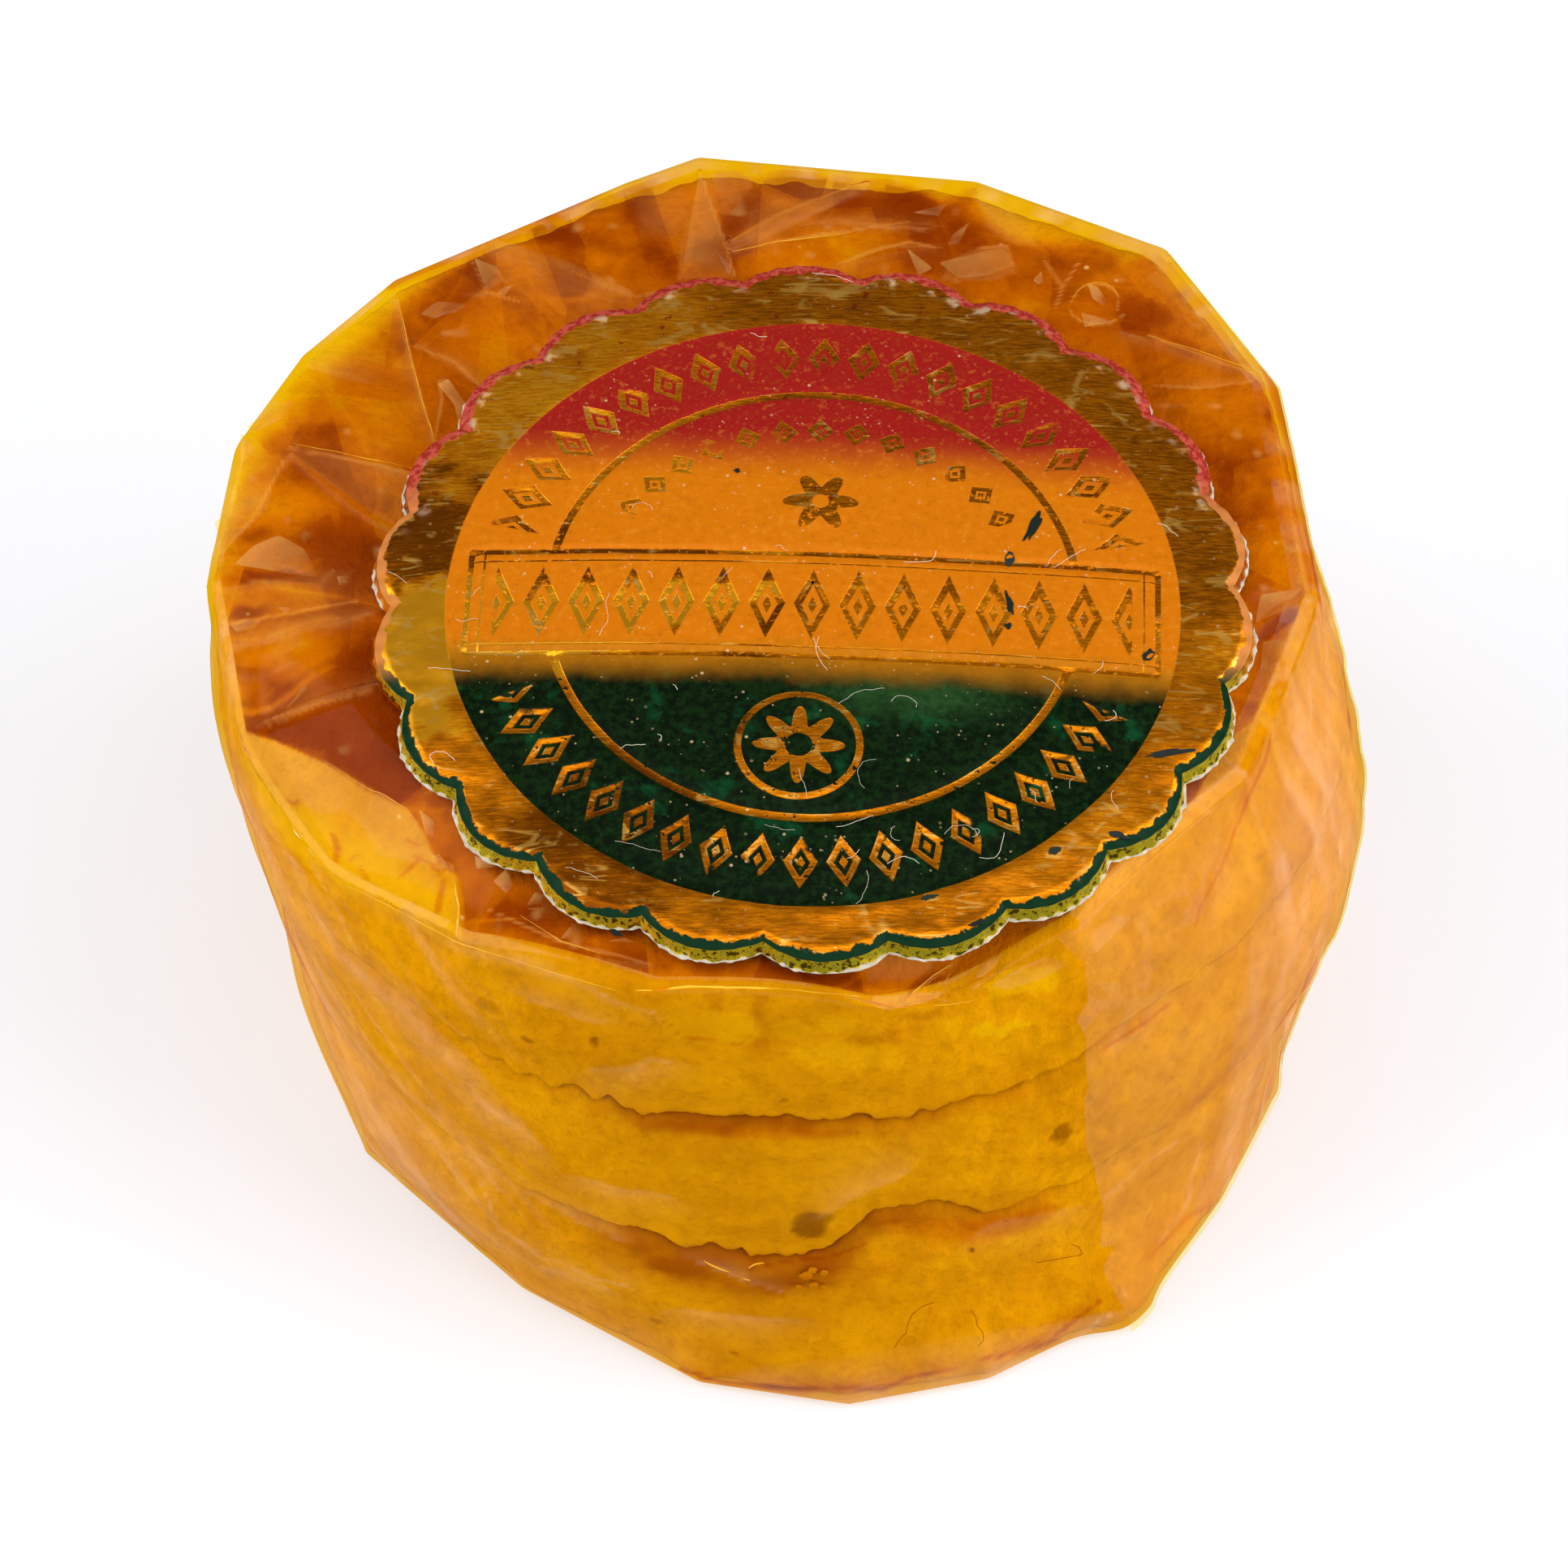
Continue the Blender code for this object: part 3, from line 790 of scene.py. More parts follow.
# The same painted sheen bands on the top
TOP_BANDS = (
    (15, 0.45, ((598, 296), (690, 330), (777, 362))),
    (9, 0.50, ((900, 299), (970, 261), (1069, 226))),
    (4, 0.45, ((904, 310), (978, 271))),
    (3, 0.50, ((988, 280), (1041, 276), (1146, 282))),
    (4, 0.35, ((1030, 327), (1093, 303), (1146, 301))),
    (9, 0.30, ((377, 450), (455, 471))),
    (4, 0.40, ((486, 362), (504, 433), (532, 541))),
    (2, 0.50, ((507, 422), (560, 447), (598, 482))),
    (4, 0.55, ((363, 550), (435, 566), (507, 582))),
    (12, 0.25, ((405, 573), (476, 601))),
    (11, 0.35, ((356, 562), (297, 636), (270, 680))),
    (16, 0.42, ((262, 806), (385, 770), (458, 755))),
    (7, 0.40, ((271, 731), (313, 716), (361, 721), (397, 721), (412, 702))),
    (5, 0.60, ((320, 893), (390, 868), (468, 845))),
    (3, 0.40, ((1382, 408), (1501, 443), (1557, 461))),
    (2.5, 0.40, ((1438, 478), (1568, 468))),
    (12, 0.45, ((1441, 317), (1490, 370), (1536, 426))),
    (9, 0.30, ((1199, 236), (1251, 296))),
    (2.5, 0.45, ((646, 1170), (800, 1190))),
)
# Standing folds of the top film, as relief: half width in pixels, height in mm, pixels
TOP_RIDGES = (
    (14, 0.45, ((598, 300), (690, 334), (777, 366))),
    (9, 0.45, ((900, 303), (970, 265), (1069, 230))),
    (5, 0.25, ((988, 282), (1041, 278), (1146, 284))),
    (6, 0.30, ((486, 362), (504, 433), (532, 541))),
    (6, 0.35, ((363, 554), (435, 570), (507, 586))),
    (10, 0.35, ((360, 562), (455, 636), (500, 665))),
    (14, 0.40, ((262, 806), (385, 770), (458, 755))),
    (7, 0.45, ((320, 896), (390, 871), (468, 848))),
    (8, 0.35, ((862, 215), (885, 280), (904, 341))),
    (5, 0.25, ((1382, 412), (1501, 447), (1557, 465))),
    (10, 0.35, ((1441, 330), (1490, 380), (1536, 430))),
    (6, 0.35, ((1546, 778), (1604, 742), (1615, 732))),
    (5, 0.40, ((540, 1060), (561, 1094), (563, 1160))),
    (4, 0.20, ((811, 1223), (897, 1216), (961, 1221), (1060, 1231))),
)
# Where the top film lies several layers deep, all but its see-through border
DEEP_ZONE = (
    (285, 640), (268, 700), (262, 790), (276, 880), (300, 900), (339, 912), (398, 941), (453, 974),
    (501, 998), (522, 1025), (532, 1053), (563, 1080), (566, 1160), (700, 1185), (811, 1220), (897, 1216),
    (961, 1221), (1060, 1231), (1110, 1243), (1172, 1240), (1201, 1220), (1240, 1180), (1302, 1161),
    (1375, 1128), (1423, 1105), (1451, 1053), (1464, 997), (1513, 908), (1585, 860), (1579, 788), (1620, 742),
    (1626, 640), (1612, 520), (1575, 440), (1515, 385), (1445, 312), (1389, 327), (1346, 299), (1251, 296),
    (1199, 250), (1195, 233), (1157, 250), (1097, 226), (978, 212), (928, 219), (900, 208), (865, 212),
    (816, 221), (772, 227), (730, 238), (690, 252), (610, 286), (578, 312), (500, 370), (455, 405),
    (400, 455), (345, 510), (315, 540), (297, 580),
)
# Darker and paler spots of the top, more or fewer layers together with the painted shade of the deep tint: x,
# y, half length, half width, turn, layers more or less
DEPTH_SPOTS = (
    (1097, 248, 48, 13, 5, 1.0), (1020, 226, 40, 9, 0, 0.5), (795, 254, 42, 20, -20, 0.5),
    (802, 303, 28, 25, 0, 0.4), (695, 288, 48, 10, 12, 0.5), (590, 330, 22, 22, 0, 0.3),
    (1181, 282, 20, 14, 0, 0.4), (1420, 388, 30, 12, 20, 0.7), (1459, 362, 14, 8, 0, 0.5),
    (1480, 440, 45, 9, 25, 0.45), (1538, 610, 40, 70, 0, 0.62), (1564, 513, 5, 10, 0, 0.4),
    (398, 531, 25, 14, 0, 0.4), (411, 548, 5, 3, 0, 0.8), (450, 606, 36, 14, 15, 0.6),
    (410, 668, 42, 25, 30, 0.5), (313, 658, 22, 10, -20, 0.35), (290, 716, 20, 6, -10, 0.6),
    (345, 708, 50, 3.5, 4, 0.8), (300, 753, 26, 10, 0, 0.5), (264, 791, 12, 25, 0, 0.4),
    (446, 818, 30, 24, 0, 0.65), (434, 882, 56, 16, -14, 0.8), (350, 900, 32, 9, 20, 0.6),
    (470, 950, 70, 25, 32, 0.55), (640, 1125, 75, 26, 12, 0.35), (850, 1190, 170, 16, 4, 0.4),
    (1120, 1210, 90, 14, 0, 0.3), (1345, 1115, 50, 26, -38, 0.45), (1390, 1118, 14, 8, 0, 0.6),
    (1580, 766, 34, 6, -32, 0.7), (469, 413, 6, 4, 0, 0.5), (567, 401, 5, 4, 0, 0.6),
    (540, 413, 14, 8, 0, 0.3), (361, 624, 50, 25, 0, -0.35), (288, 854, 22, 18, 0, -0.4),
    (460, 480, 60, 50, 0, -0.15), (1023, 296, 50, 16, 0, -0.15), (640, 400, 60, 30, 0, 0.1),
    (1000, 285, 420, 70, 0, 0.25), (1520, 560, 90, 170, 0, 0.14), (430, 640, 60, 60, 0, 0.30),
    (380, 800, 60, 36, 0, -0.4), (720, 1150, 190, 30, 10, -0.08), (700, 370, 60, 30, 0, 0.2),
    (395, 418, 95, 26, -34, -0.45), (318, 505, 50, 24, -62, -0.35), (272, 600, 50, 18, -80, -0.25),
    (1180, 235, 40, 8, 10, 0.3),
)
# Flat panels where film lies over film: softness of the edge, layers more or less, painted sheen and corners
PANELS = (
    (4, -0.22, 0.10, ((351, 564), (316, 633), (271, 683), (255, 640), (280, 560), (301, 525), (332, 560))),
    (3, 0.20, 0.22, ((355, 553), (504, 581), (500, 640), (485, 648), (420, 605), (360, 562))),
    (3, 0.16, 0.0, ((489, 369), (508, 453), (535, 545), (600, 480), (650, 430), (700, 395), (640, 340),
        (560, 330))),
    (14, -0.14, 0.0, ((400, 440), (480, 400), (505, 470), (530, 545), (450, 560), (380, 545), (360, 500))),
    (3, -0.12, 0.14, ((290, 720), (393, 716), (440, 700), (410, 745), (330, 760), (275, 770))),
    (4, 0.20, 0.0, ((393, 716), (470, 690), (468, 750), (420, 765), (405, 745))),
    (3, 0.12, 0.0, ((300, 905), (324, 889), (470, 847), (455, 800), (400, 812), (340, 850))),
    (3, -0.14, 0.16, ((864, 214), (906, 341), (835, 345), (838, 300))),
    (3, -0.05, 0.14, ((866, 216), (928, 212), (925, 240), (900, 266), (880, 262))),
    (3, 0.22, 0.0, ((930, 219), (1040, 219), (1000, 240), (900, 290), (890, 268), (905, 262))),
    (3, -0.10, 0.30, ((892, 301), (960, 262), (1060, 222), (1066, 232), (985, 275), (902, 312))),
    (4, 0.20, 0.0, ((902, 312), (985, 275), (1066, 235), (1110, 262), (950, 296))),
    (5, -0.16, 0.0, ((903, 318), (953, 300), (1120, 275), (1120, 296), (1042, 323), (980, 335), (915, 338))),
    (4, -0.08, 0.18, ((1212, 246), (1250, 262), (1280, 304), (1245, 300), (1215, 280))),
    (3, -0.12, 0.20, ((1159, 346), (1170, 320), (1205, 306), (1240, 303), (1251, 335), (1225, 346))),
    (5, 0.16, 0.0, ((1080, 225), (1187, 240), (1180, 262), (1120, 262), (1080, 255))),
    (4, 0.24, 0.0, ((1401, 361), (1460, 385), (1544, 425), (1559, 455), (1500, 440), (1416, 410),
        (1380, 405))),
    (4, -0.10, 0.22, ((1412, 343), (1441, 318), (1519, 398), (1530, 420), (1501, 414), (1450, 375))),
    (26, 0.22, 0.20, ((782, 244), (806, 232), (846, 236), (852, 268), (832, 290), (792, 284))),
    (20, 0.02, 0.0, ((1440, 490), (1560, 470), (1590, 560), (1590, 640), (1530, 620), (1470, 560))),
)
# Sharp golden lines where the top film is folded, painted as highlights with a painted shadow along one side:
# half width in pixels, and pixels
FOLD_LINES = (
    (2.0, ((355, 553), (430, 567), (504, 581))), (2.2, ((489, 369), (508, 453), (535, 545))),
    (1.6, ((508, 426), (558, 445), (596, 480))), (2.0, ((864, 214), (885, 275), (906, 341))),
    (2.0, ((892, 301), (960, 264), (1060, 224))), (1.7, ((896, 312), (953, 298), (1120, 273))),
    (1.7, ((1042, 323), (1080, 308), (1120, 298), (1160, 306))),
    (1.8, ((1287, 321), (1309, 354), (1301, 379))), (1.6, ((1309, 354), (1330, 322))),
    (2.0, ((1416, 414), (1500, 445), (1559, 464))), (1.7, ((1423, 475), (1480, 478), (1555, 468))),
    (1.7, ((1205, 306), (1240, 303), (1251, 335))),
    (1.4, ((1319, 374), (1326, 361), (1337, 352), (1350, 349), (1363, 351), (1373, 358), (1379, 369),
        (1376, 382))),
    (1.3, ((1316, 378), (1322, 389), (1333, 397), (1347, 401), (1362, 400), (1378, 394), (1390, 382))),
    (2.2, ((324, 889), (390, 868), (470, 847))), (1.8, ((351, 564), (316, 633), (271, 683))),
    (1.8, ((275, 770), (350, 757), (440, 741))), (1.8, ((535, 545), (545, 490), (540, 470), (553, 468))),
    (1.6, ((581, 320), (600, 360), (640, 372))), (1.6, ((703, 334), (781, 366), (810, 359))),
    (1.8, ((294, 898), (398, 941), (501, 998), (532, 1053), (563, 1085))), (2.2, ((561, 1094), (565, 1160))),
    (1.8, ((600, 1120), (690, 1160), (811, 1190))), (1.6, ((700, 1210), (811, 1223), (961, 1219))),
    (1.6, ((1090, 1243), (1126, 1223), (1182, 1183))),
)
# A fold that lets more light through, and how deep the film is elsewhere
BRIGHT_STRIP = ((358, 560), (455, 636), (500, 665))
BASE_DEPTH = 0.47
FACET = (
    (294, 898), (339, 912), (398, 941), (453, 974), (501, 998), (522, 1025), (532, 1053), (563, 1080),
    (566, 1160), (501, 1125), (425, 1089), (374, 1060), (329, 1008), (298, 939),
)
# The upper part of that facet, where the film is slack and carries a painted sheen
PALE_FACET = (
    (300, 900), (398, 941), (453, 974), (501, 998), (522, 1025), (540, 1060), (529, 1067), (500, 1060),
    (467, 1053), (450, 1022), (425, 998), (400, 1004), (370, 990), (329, 991), (310, 950),
)
# Dark crinkles that cross the slack front facet: half width and pixels
CRINKLES = (
    (5, ((408, 1024), (416, 1046), (411, 1070))), (3, ((380, 1056), (395, 1066), (406, 1069))),
    (3, ((443, 1067), (450, 1080), (457, 1097))), (4, ((488, 1084), (505, 1070), (522, 1053))),
    (4, ((510, 1054), (528, 1062), (543, 1078))), (6, ((546, 1084), (541, 1110), (535, 1135))),
    (3, ((501, 1034), (512, 1042), (522, 1040))), (3, ((430, 1060), (442, 1052))),
    (3, ((350, 985), (362, 990), (368, 986))),
)


def pale_bands(points, bands):
    """How strongly the painted sheen of slack film shows, from the bands of pixels, with a painted highlight
    along each band's crest; they break up and waver as they run.
    """
    seen = to_photo(points) + 4.0 * stack_of(noise(points, 2.0, 231), noise(points, 2.0, 235))
    painted_sheen = np.zeros(seen.shape[:-1])
    for number, (half_width, strength, path) in enumerate(bands):
        away, along = line_distance(seen, path)
        length = math.hypot(*np.subtract(path[-1], path[0]))
        beside = beside_line(seen, path) / length * (-1) ** number
        fade = np.exp(-away / (2.2 * half_width)) * smooth_step(0.5 + beside / 4.0) * thinning(along)
        crest = on_band(seen, path, 0.45 * half_width)
        painted_sheen = np.maximum(painted_sheen, strength * np.maximum(crest, fade))
    return painted_sheen * np.clip(0.8 + 0.55 * rough_noise(points, 1.8, 241), 0, 1.3)


def faces_camera(turn):
    """1 on the half of the side that the photo shows, 0 behind, with a soft change between."""
    return smooth_step((92.0 - np.abs(turn_between(turn, -90.0))) / 8.0)


def top_fields(points):
    """The top film's painted sheen and depth at each point. Depth counts film layers and also paints shade
    beside the folds and light along them.
    """
    seen = to_photo(points)
    crisp = smooth_step((seen[..., 1] - 860.0) / 50.0)
    swing = 11.0 - 9.0 * crisp
    shaken = seen + stack_of(swing * rough_noise(points, 2.6, 201), swing * rough_noise(points, 2.6, 211))
    softness = 22.0 + 60.0 * bell(seen[..., 0] - 380.0, 110.0) * bell(seen[..., 1] - 450.0, 130.0)
    softness = softness - 19.0 * crisp
    softness = softness + 34.0 * bell(seen[..., 0] - 650.0, 90.0) * bell(seen[..., 1] - 270.0, 60.0)
    zone = on_area(shaken, DEEP_ZONE, softness)
    layers = smooth_step(6.0 * noise(points, 6.5, 227)) + smooth_step(8.0 * noise(points, 4.0, 228))
    _, tone, crease = crumple(points[..., 0], points[..., 1])
    depth = BASE_DEPTH + 0.26 * rough_noise(points, 6.0, 221) + 0.12 * rough_noise(points, 1.6, 225)
    depth = depth + 0.07 * layers + 0.16 * tone - 0.35 * crease
    for x, y, half_length, half_width, turn, amount in DEPTH_SPOTS:
        amount = amount * (1.3 if amount > 0.0 else 1.0)
        depth = depth + amount * on_spot(shaken, x, y, half_length, half_width, turn)
    panel_sheen = np.zeros(seen.shape[:-1])
    for soft, amount, pale, corners in PANELS:
        inside = on_area(seen, corners, soft)
        depth = depth + amount * inside
        panel_sheen = np.maximum(panel_sheen, pale * inside)
    folds = np.zeros(seen.shape[:-1])
    for half_width, path in FOLD_LINES:
        away, _ = line_distance(seen, path)
        folds = np.maximum(folds, on_band(seen, path, half_width))
        # Painted shadow along one side of each fold
        depth = depth + 0.16 * np.exp(-away / 9.0) * smooth_step(0.5 + beside_line(seen, path) / 900.0)
    # The last term paints golden highlights along the folds
    depth = depth - 0.45 * on_band(seen, BRIGHT_STRIP, 6.0) - 0.40 * folds
    depth = np.clip(depth * zone, 0.0, 1.3)
    for half_width, path in CRINKLES:
        depth = np.maximum(depth, 0.40 * on_band(seen, path, 0.7 * half_width))
    painted_sheen = np.maximum(pale_bands(points, TOP_BANDS), np.maximum(panel_sheen, 0.45 * folds))
    slack = on_area(seen, FACET, 3.0)
    toward_corner = on_area(seen + 0.35 * (shaken - seen), PALE_FACET, 5.0)
    painted_sheen = np.maximum(painted_sheen, slack * (0.04 + 0.46 * toward_corner))
    # Bubbles under the film, shown by pale painted sheen
    bubbles = np.clip(noise(points, 1.1, 251) - 0.62, 0, 1) * 2.2
    return np.clip(np.maximum(painted_sheen, bubbles * zone), 0, 1), depth


def side_fields(points, bands):
    """The side film's painted sheen and depth: as the photo shows them, and made up behind. Depth also paints
    shade along the gaps between the discs.
    """
    turn, _ = about_axis(points)
    height = points[..., 2]
    around = np.radians(turn_between(turn, -90)) * WAIST_RADIUS
    down, along = (around + height) / math.sqrt(2), (around - height) / math.sqrt(2)
    behind = 0.45 * ridged(down, along, 2.0, 14.0, 25) + 0.45 * ridged(around, height, 0.9, 16.0, 26)
    behind = behind + 0.35 * ridged(down, along, 0.6, 9.0, 29)
    left = smooth_step((turn_between(-112, turn)) / 20.0)
    right = smooth_step(turn_between(turn, -48) / 20.0)
    fine = 0.5 * left * ridged(down, along, 0.6, 12.0, 27)
    fine = fine + 0.4 * right * ridged(around, height, 0.5, 12.0, 28)
    shown = np.maximum(pale_bands(points, bands), fine)
    front = faces_camera(turn)
    seen = to_photo(points)
    sheen_amount = 0.35 + 0.5 * ridged(down, along, 1.0, 12.0, 30)
    shown = np.maximum(shown, on_area(seen, PALE_LEFT, 60.0) * sheen_amount)
    depth = np.zeros(seen.shape[:-1])
    for half_width, strength, path in SIDE_CREASES_AND_SHADE:
        depth = np.maximum(depth, strength * on_band(seen, path, half_width))
    at_rim = smooth_step((height - rim_height(turn) + 4.0) / 2.0)
    return np.clip(shown * front + behind * (1.0 - front), 0, 1), depth * np.maximum(front, at_rim)


def ridged(across, along, width, length, seed):
    """Soft ridges that run along one direction: how high each point stands, from 0 to 1."""
    value = noise(stack_of(across / width, along / length, 0.0 * across), 1.0, seed)
    return np.clip(value, 0.0, 1.0) ** 1.5


def side_relief(angle, height):
    """How far the film's drawn creases stand out of its side."""
    around = np.radians(turn_between(angle, -90)) * WAIST_RADIUS
    left = smooth_step((turn_between(angle, -182) / 12.0)) * smooth_step((turn_between(-100, angle)) / 24.0)
    down = (around + height) / math.sqrt(2)
    along = (around - height) / math.sqrt(2)
    drawn = ridged(down, along, 2.6, 15.0, 5) + 0.45 * ridged(down, along, 1.1, 9.0, 6)
    right = smooth_step(turn_between(angle, -40) / 20.0) * smooth_step(turn_between(75, angle) / 20.0)
    pulled = ridged(around + 0.12 * height, height, 1.5, 14.0, 8) + 0.5 * ridged(around, height, 0.7, 9.0, 9)
    hidden = 1.0 - np.clip(left + right, 0, 1)
    front = bell(turn_between(angle, -80), 34)
    rest = ridged(around * 0.25 + height, around, 1.7, 9.0, 14)
    back = hidden * (1.0 - front)
    relief = 0.30 * left * drawn + 0.26 * right * pulled + 0.10 * hidden * rest
    streaks = ridged(down, along, 2.0, 12.0, 25) + 0.5 * ridged(around, height, 1.0, 11.0, 26)
    relief = relief + 0.26 * back * streaks
    inside_edges = smooth_step(height / 2.5) * smooth_step((rim_height(angle) - height) / 2.5)
    return relief * inside_edges


# Crushed film's creases: the way they run, and how far apart they lie
CRUMPLES = ((12, 7.0), (64, 5.3), (107, 8.1), (151, 4.1), (80, 3.3))


def crumple(x, y):
    """Film that has been crushed: its height, the tone of its flat facets and the lines of its creases."""
    flat = stack_of(x, y, 0.0 * x)
    swerve = 0.9 * noise(flat, 8.0, 261)
    strength = smooth_step(0.55 + noise(flat, 9.0, 271))
    height, tone, crease = 0.0 * x, 0.0 * x, 0.0 * x
    for number, (turn, size) in enumerate(CRUMPLES):
        tilt = math.radians(turn)
        step = (x * math.cos(tilt) + y * math.sin(tilt)) / size + swerve + 0.37 * number
        cell = np.floor(step)
        part = np.abs(step - cell - 0.5)
        chance = lattice_value(stack_of(cell, number + 0.0 * cell, 0.0 * cell).astype(np.int64), 273)
        height = height + part * size / 12.0
        tone = tone + (chance - 0.5) * strength
        broken = smooth_step(0.2 + 2.5 * noise(flat, 6.0, 275 + number))
        crease = np.maximum(crease, smooth_step(1.6 - (0.5 - part) * size / 0.13) * chance * broken)
    return height * strength, tone, crease


def top_relief(points):
    """Low folds and dents of the film on the top."""
    x, y = points[..., 0], points[..., 1]
    across, along = x - AXIS_AT_TOP[0], y - AXIS_AT_TOP[1]
    turn = np.degrees(np.arctan2(along, across))
    radius = np.hypot(across, along)
    inside = smooth_step((rim_radius(turn) - radius) / 3.0)
    spokes = noise(on_circle(turn, 9.0) + stack_of(0.0, 0.0, radius * 0.12), 1.0, 31)
    relief = inside * (0.20 * spokes + 0.10 * rough_noise(points, 5.0, 33) + 0.25 * crumple(x, y)[0])
    seen = to_photo(stack_of(x, y, top_height(x, y)))
    for half_width, height, path in TOP_RIDGES:
        relief = relief + height * on_band(seen, path, half_width)
    return relief


WRAP_COLUMNS = 640
TOP_COLUMNS = 960


def top_ring(angle, radius, lift=0.0):
    """A ring of points on the top film, at a distance from the axis."""
    flat = skin_point(angle, radius, 0.0 * angle + STACK_HEIGHT)
    return on_top(flat[..., 0], flat[..., 1], lift)


def make_film_wrap(material):
    """The film round the side and under the base."""
    angle = np.linspace(0, 360, WRAP_COLUMNS, endpoint=False)
    rim = rim_height(angle)
    rows = []
    foot = side_radius(angle, BASE_EDGE)
    for share in (0.3, 0.55, 0.8, 0.94):
        rows.append(skin_point(angle, (foot - BASE_EDGE) * share, 0.06))
    rows.append(skin_point(angle, foot - BASE_EDGE, 0.04))
    rows.append(skin_point(angle, foot - BASE_EDGE * 0.3, BASE_EDGE * 0.3))
    for share in np.linspace(0.0, 1.0, 112):
        height = BASE_EDGE + (rim - SHOULDER - BASE_EDGE) * share
        reach = side_radius(angle, height) + side_relief(angle, height)
        rows.append(skin_point(angle, reach, height))
    rows.append(skin_point(angle, span_radius(angle, RIM_CORNERS) - SHOULDER * 0.3, rim - SHOULDER * 0.3))
    rows.append(top_ring(angle, rim_radius(angle)))
    grid = np.stack(rows)
    marks = dict(zip(("painted_sheen", "depth"), side_fields(grid, SIDE_BANDS)))
    piece = grid_piece("film_wrap", grid, material, closed=True, attributes=marks)
    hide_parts("wrapped_stack")
    return piece


def on_top(x, y, lift):
    """A place on the top film, lifted a little for its layer."""
    flat = stack_of(x, y, 0.0 * x + STACK_HEIGHT)
    return stack_of(x, y, top_height(x, y) + top_relief(flat) + lift)


def make_film_top(material):
    """The gathered film on the top, from the rim to under the seal."""
    angle = np.linspace(0, 360, TOP_COLUMNS, endpoint=False)
    rows = []
    for share in np.linspace(0.0, 0.46, 98):
        rows.append(top_ring(angle, rim_radius(angle) * (1.0 - share)))
    grid = np.stack(rows)
    painted_sheen, depth = top_fields(grid)
    piece = grid_piece("film_top", grid, material, closed=True, attributes={"painted_sheen": painted_sheen, "depth": depth})
    return piece


# The film's free second layer covers the right side, from the front round to the back. Its free edge runs
# down the photo through these pixels.
SECOND_EDGE = (
    (1335, 1207), (1320, 1228), (1335, 1260), (1334, 1314), (1331, 1341), (1335, 1402), (1348, 1437),
    (1356, 1483), (1372, 1530), (1375, 1560), (1381, 1590), (1390, 1630),
)
# Where the second layer clings in patches, with painted sheen between them, and where it stands off and
# carries a peach painted sheen
CLINGING_AREA = (
    (1240, 1240), (1345, 1160), (1450, 1080), (1500, 1010), (1540, 1090), (1450, 1220), (1400, 1330),
    (1330, 1330),
)
PEACH_AREA = (
    (1590, 860), (1620, 700), (1660, 860), (1690, 1010), (1650, 1200), (1580, 1390), (1480, 1530),
    (1470, 1480), (1499, 1393), (1530, 1230), (1571, 1020),
)
SECOND_END = 118.0
SECOND_OUT = 0.14


def make_second_layer(material):
    edge_turn, edge_height = side_place(SECOND_EDGE)
    order = np.argsort(edge_height)
    share = np.linspace(0.0, 1.0, 320)
    rows = []
    for level in np.linspace(0.0, 1.0, 120):
        start = np.interp(level * STACK_HEIGHT, edge_height[order], edge_turn[order])
        angle = start + (SECOND_END - start) * share
        highest = rim_height(angle) - SHOULDER
        height = 0.35 + (highest - 0.35) * level
        reach = side_radius(angle, np.maximum(height, BASE_EDGE)) + side_relief(angle, height) + SECOND_OUT
        lifted = 0.14 * np.exp(-share * 60.0)
        rows.append(skin_point(angle, reach + lifted, height))
    for inward in np.linspace(0.0, 0.03, 3):
        rows.append(top_ring(angle, rim_radius(angle) * (1.0 - inward) + SECOND_OUT, SECOND_OUT))
    grid = np.stack(rows)
    painted_sheen, depth = side_fields(grid, SECOND_BANDS)
    # A painted highlight along the free edge
    marks = {"painted_sheen": np.maximum(painted_sheen, 0.15 * np.exp(-share * 400.0)), "depth": 0.3 * depth}
    seen = to_photo(grid)
    turn, _ = about_axis(grid)
    streaks = ridged(np.radians(turn) * 36.0, grid[..., 2], 0.9, 16.0, 33)
    marks["painted_sheen"] = np.maximum(marks["painted_sheen"], on_area(seen, PEACH_AREA, 40.0) * (0.33 + 0.5 * streaks))
    # A faint painted sheen over the front half of the side
    marks["painted_sheen"] = np.maximum(marks["painted_sheen"], 0.14 * faces_camera(turn))
    marks["patchy"] = 0.25 * on_area(seen, CLINGING_AREA, 60.0)
    piece = grid_piece("film_second_layer", grid, material, attributes=marks)
    return piece


def bend(path, count):
    """A bent line of pixels as this many points, spaced evenly between its corners."""
    path = np.asarray(path, float)
    share = np.linspace(0, len(path) - 1, count)
    return stack_of(*(np.interp(share, np.arange(len(path)), path[:, i]) for i in range(2)))


def thread_radius(radius, count):
    """A thread's radius along its path: thin at both ends."""
    return radius * np.sqrt(np.clip(np.sin(np.linspace(0.05, math.pi - 0.05, count)), 0, 1))[:, None, None]


def join_grids(name, grids, material, marks):
    """One mesh of several open grids; marks holds each attribute's value for each grid."""
    points, faces, count = [], [], 0
    values = {key: [] for key in marks}
    for number, grid in enumerate(grids):
        rows, columns = grid.shape[:2]
        points.append(grid.reshape(-1, 3))
        faces.append(grid_faces(rows, columns, False) + count)
        for key in marks:
            values[key].append(np.broadcast_to(marks[key][number], grid.shape[:2]).ravel())
        count += rows * columns
    joined = {key: np.concatenate(parts) for key, parts in values.items()}
    return make_mesh(name, np.concatenate(points), np.concatenate(faces), material, joined)


